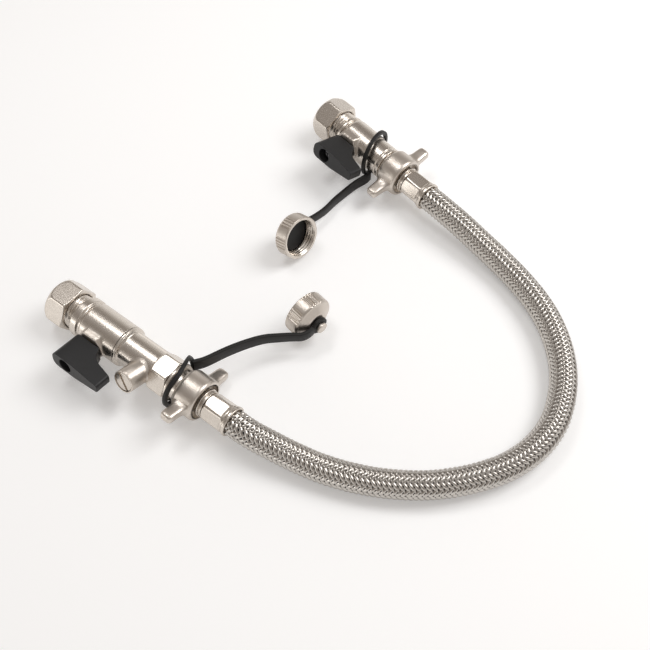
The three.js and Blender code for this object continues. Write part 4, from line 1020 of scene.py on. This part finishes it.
def make_cap(side):
    place = cap_place(side)
    outer = [
        (0, 11.6), (0, CAP_RADIUS - 0.1, 0.4), (0.8, CAP_RADIUS, 0.4),
        (CAP_GRIP - 0.8, CAP_RADIUS, 0.6), (CAP_GRIP + 0.1, CAP_RADIUS - 0.9, 0.4),
        (CAP_GRIP + 0.2, 11.0, 0.3), (CAP_BACK - 0.3, 6.9, 0.4),
        (CAP_BACK, 6.2, 0.3), (CAP_BACK, STUD_NECK + 0.3, 0.2), (CAP_BACK + 0.3, STUD_NECK, 0.1),
        (CAP_BACK + 3, STUD_NECK, 0.1), (CAP_BACK + 3, STUD_HEAD, 0.3),
        (CAP_BACK + 4.6, STUD_HEAD, 0.4), (CAP_BACK + 4.6, 0.01),
    ]
    points, faces = spun(outer, columns=360, shape=grip, step=0.45)
    add_piece(f"{side}_blank_cap", points, faces, place, CAST_NICKEL, f"{side}_blank",
              [f"{side}_cap"])
    bore = [(0, 11.6), (0, 10.9, 0.2), (0.5, 10.4, 0.2), (8.8, 10.4, 0.1), (8.8, 0.01)]
    points, faces = spun(bore, columns=120, shape=cap_thread, step=0.3)
    add_piece(f"{side}_cap_bore", points, faces, place, NICKEL, f"{side}_blank")


def strap_route(side):
    """The band's points in millimetres in the row's frame."""
    loop = joint_at(f"{side}_strap_swing")
    eyelet = joint_at(f"{side}_cap_spin")
    places = [loop + Vector(offset) * MM for offset in STRAP_FROM_LOOP[side]]
    places += [eyelet + Vector(offset) * MM for offset in STRAP_FROM_EYELET[side]]
    return [np.array(place) / MM for place in places]


def strap_band(side):
    """The band on edge, as a rounded rectangle swept along its route."""
    path, _ = smooth_route(strap_route(side), 1.5)
    _, across, _ = frames_along(path)
    section = []
    for quarter in range(4):
        y = (STRAP_THICKNESS / 2 - STRAP_CORNER) * (1 if quarter in (0, 3) else -1)
        z = (STRAP_WIDTH[side] / 2 - STRAP_CORNER) * (1 if quarter in (0, 1) else -1)
        for step in range(4):
            angle = (quarter + step / 3) * math.pi / 2
            section.append((y + STRAP_CORNER * math.cos(angle), z + STRAP_CORNER * math.sin(angle)))
    points = []
    for index, place in enumerate(path):
        share = index / (len(path) - 1)
        narrow = 1 - STRAP_NARROWING[side] * share
        for y, z in section:
            points.append(place + across[index] * y + np.array([0, 0, z * narrow]))
    faces = grid_faces(len(path), len(section), close_rows=False)
    count = len(section)
    faces.append(tuple(reversed(range(count))))
    faces.append(tuple(range((len(path) - 1) * count, len(path) * count)))
    return points, faces


def strap_ring(bore, outer):
    """A ring as thick as the strap, round X."""
    half = STRAP_THICKNESS / 2
    outline = [(-half, bore, 0.3), (-half, outer, 0.5), (half, outer, 0.5), (half, bore, 0.3)]
    return spun([(0, bore), *outline, (0, bore)], columns=96)


def leaning(points):
    """The loop's points moved along the valve by the lean at their angle."""
    angles = np.linspace(0, 360, 361)
    lean = np.interp(angles, list(LOOP_LEAN), list(LOOP_LEAN.values()))
    smooth = np.convolve(np.tile(lean[:-1], 3), np.ones(25) / 25, "same")[360:721]
    moved = []
    for x, y, z in points:
        angle = math.degrees(math.atan2(z, y)) % 360
        moved.append((x + float(np.interp(angle, angles, smooth)), y, z))
    return moved


def make_strap(side):
    body = f"{side}_strap"
    points, faces = strap_band(side)
    add_piece(f"{side}_strap_band", points, faces, Matrix.Scale(MM, 4), STRAP, body,
              [f"{side}_cap_strap"])
    turned = Matrix.Rotation(math.radians(LOOP_TURN[side]), 4, "Z")
    along = Vector(JOINTS[f"{side}_compression_nut_spin"]["axis"])
    middle = joint_at(f"{side}_strap_swing") - along * LOOP_BACK[side] * MM
    loop = Matrix.Translation(middle) @ turned @ Matrix.Scale(MM, 4)
    points, faces = strap_ring(LOOP_BORE, LOOP_BORE + LOOP_WALL)
    if side == "inlet":
        points = leaning(points)
    add_piece(f"{side}_strap_loop", points, faces, loop, STRAP, body)
    eyelet = cap_place(side) @ Matrix.Translation((EYELET_MIDDLE, 0, 0))
    points, faces = strap_ring(EYELET_BORE, EYELET_DIAMETER / 2)
    add_piece(f"{side}_strap_eyelet", points, faces, eyelet, STRAP, body)


def make_spring(number):
    """A check valve's spring, as a copy of its node that rides on the valves."""
    node = frame["nodes"][f"check_spring_{number}"]
    coil = new_object(f"check_coil_{number}", node.data.copy())
    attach(coil, "valves")
    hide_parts(node.name)
    places = [vertex.co for vertex in node.data.vertices]
    start, end = (pick(place.x for place in places) for pick in (min, max))
    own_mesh(coil)


finish_nodes()
make_studio()
make_hose()
for valve in ("inlet", "outlet"):
    make_nut(valve)
    make_lever(valve)
    make_wing_nut(valve)
    make_tail(valve)
    make_ferrule(valve)
    make_cap(valve)
    make_strap(valve)
make_inlet_body()
make_check_body()
make_outlet_body()
make_test_plug()
for poppet in (1, 2):
    make_spring(poppet)
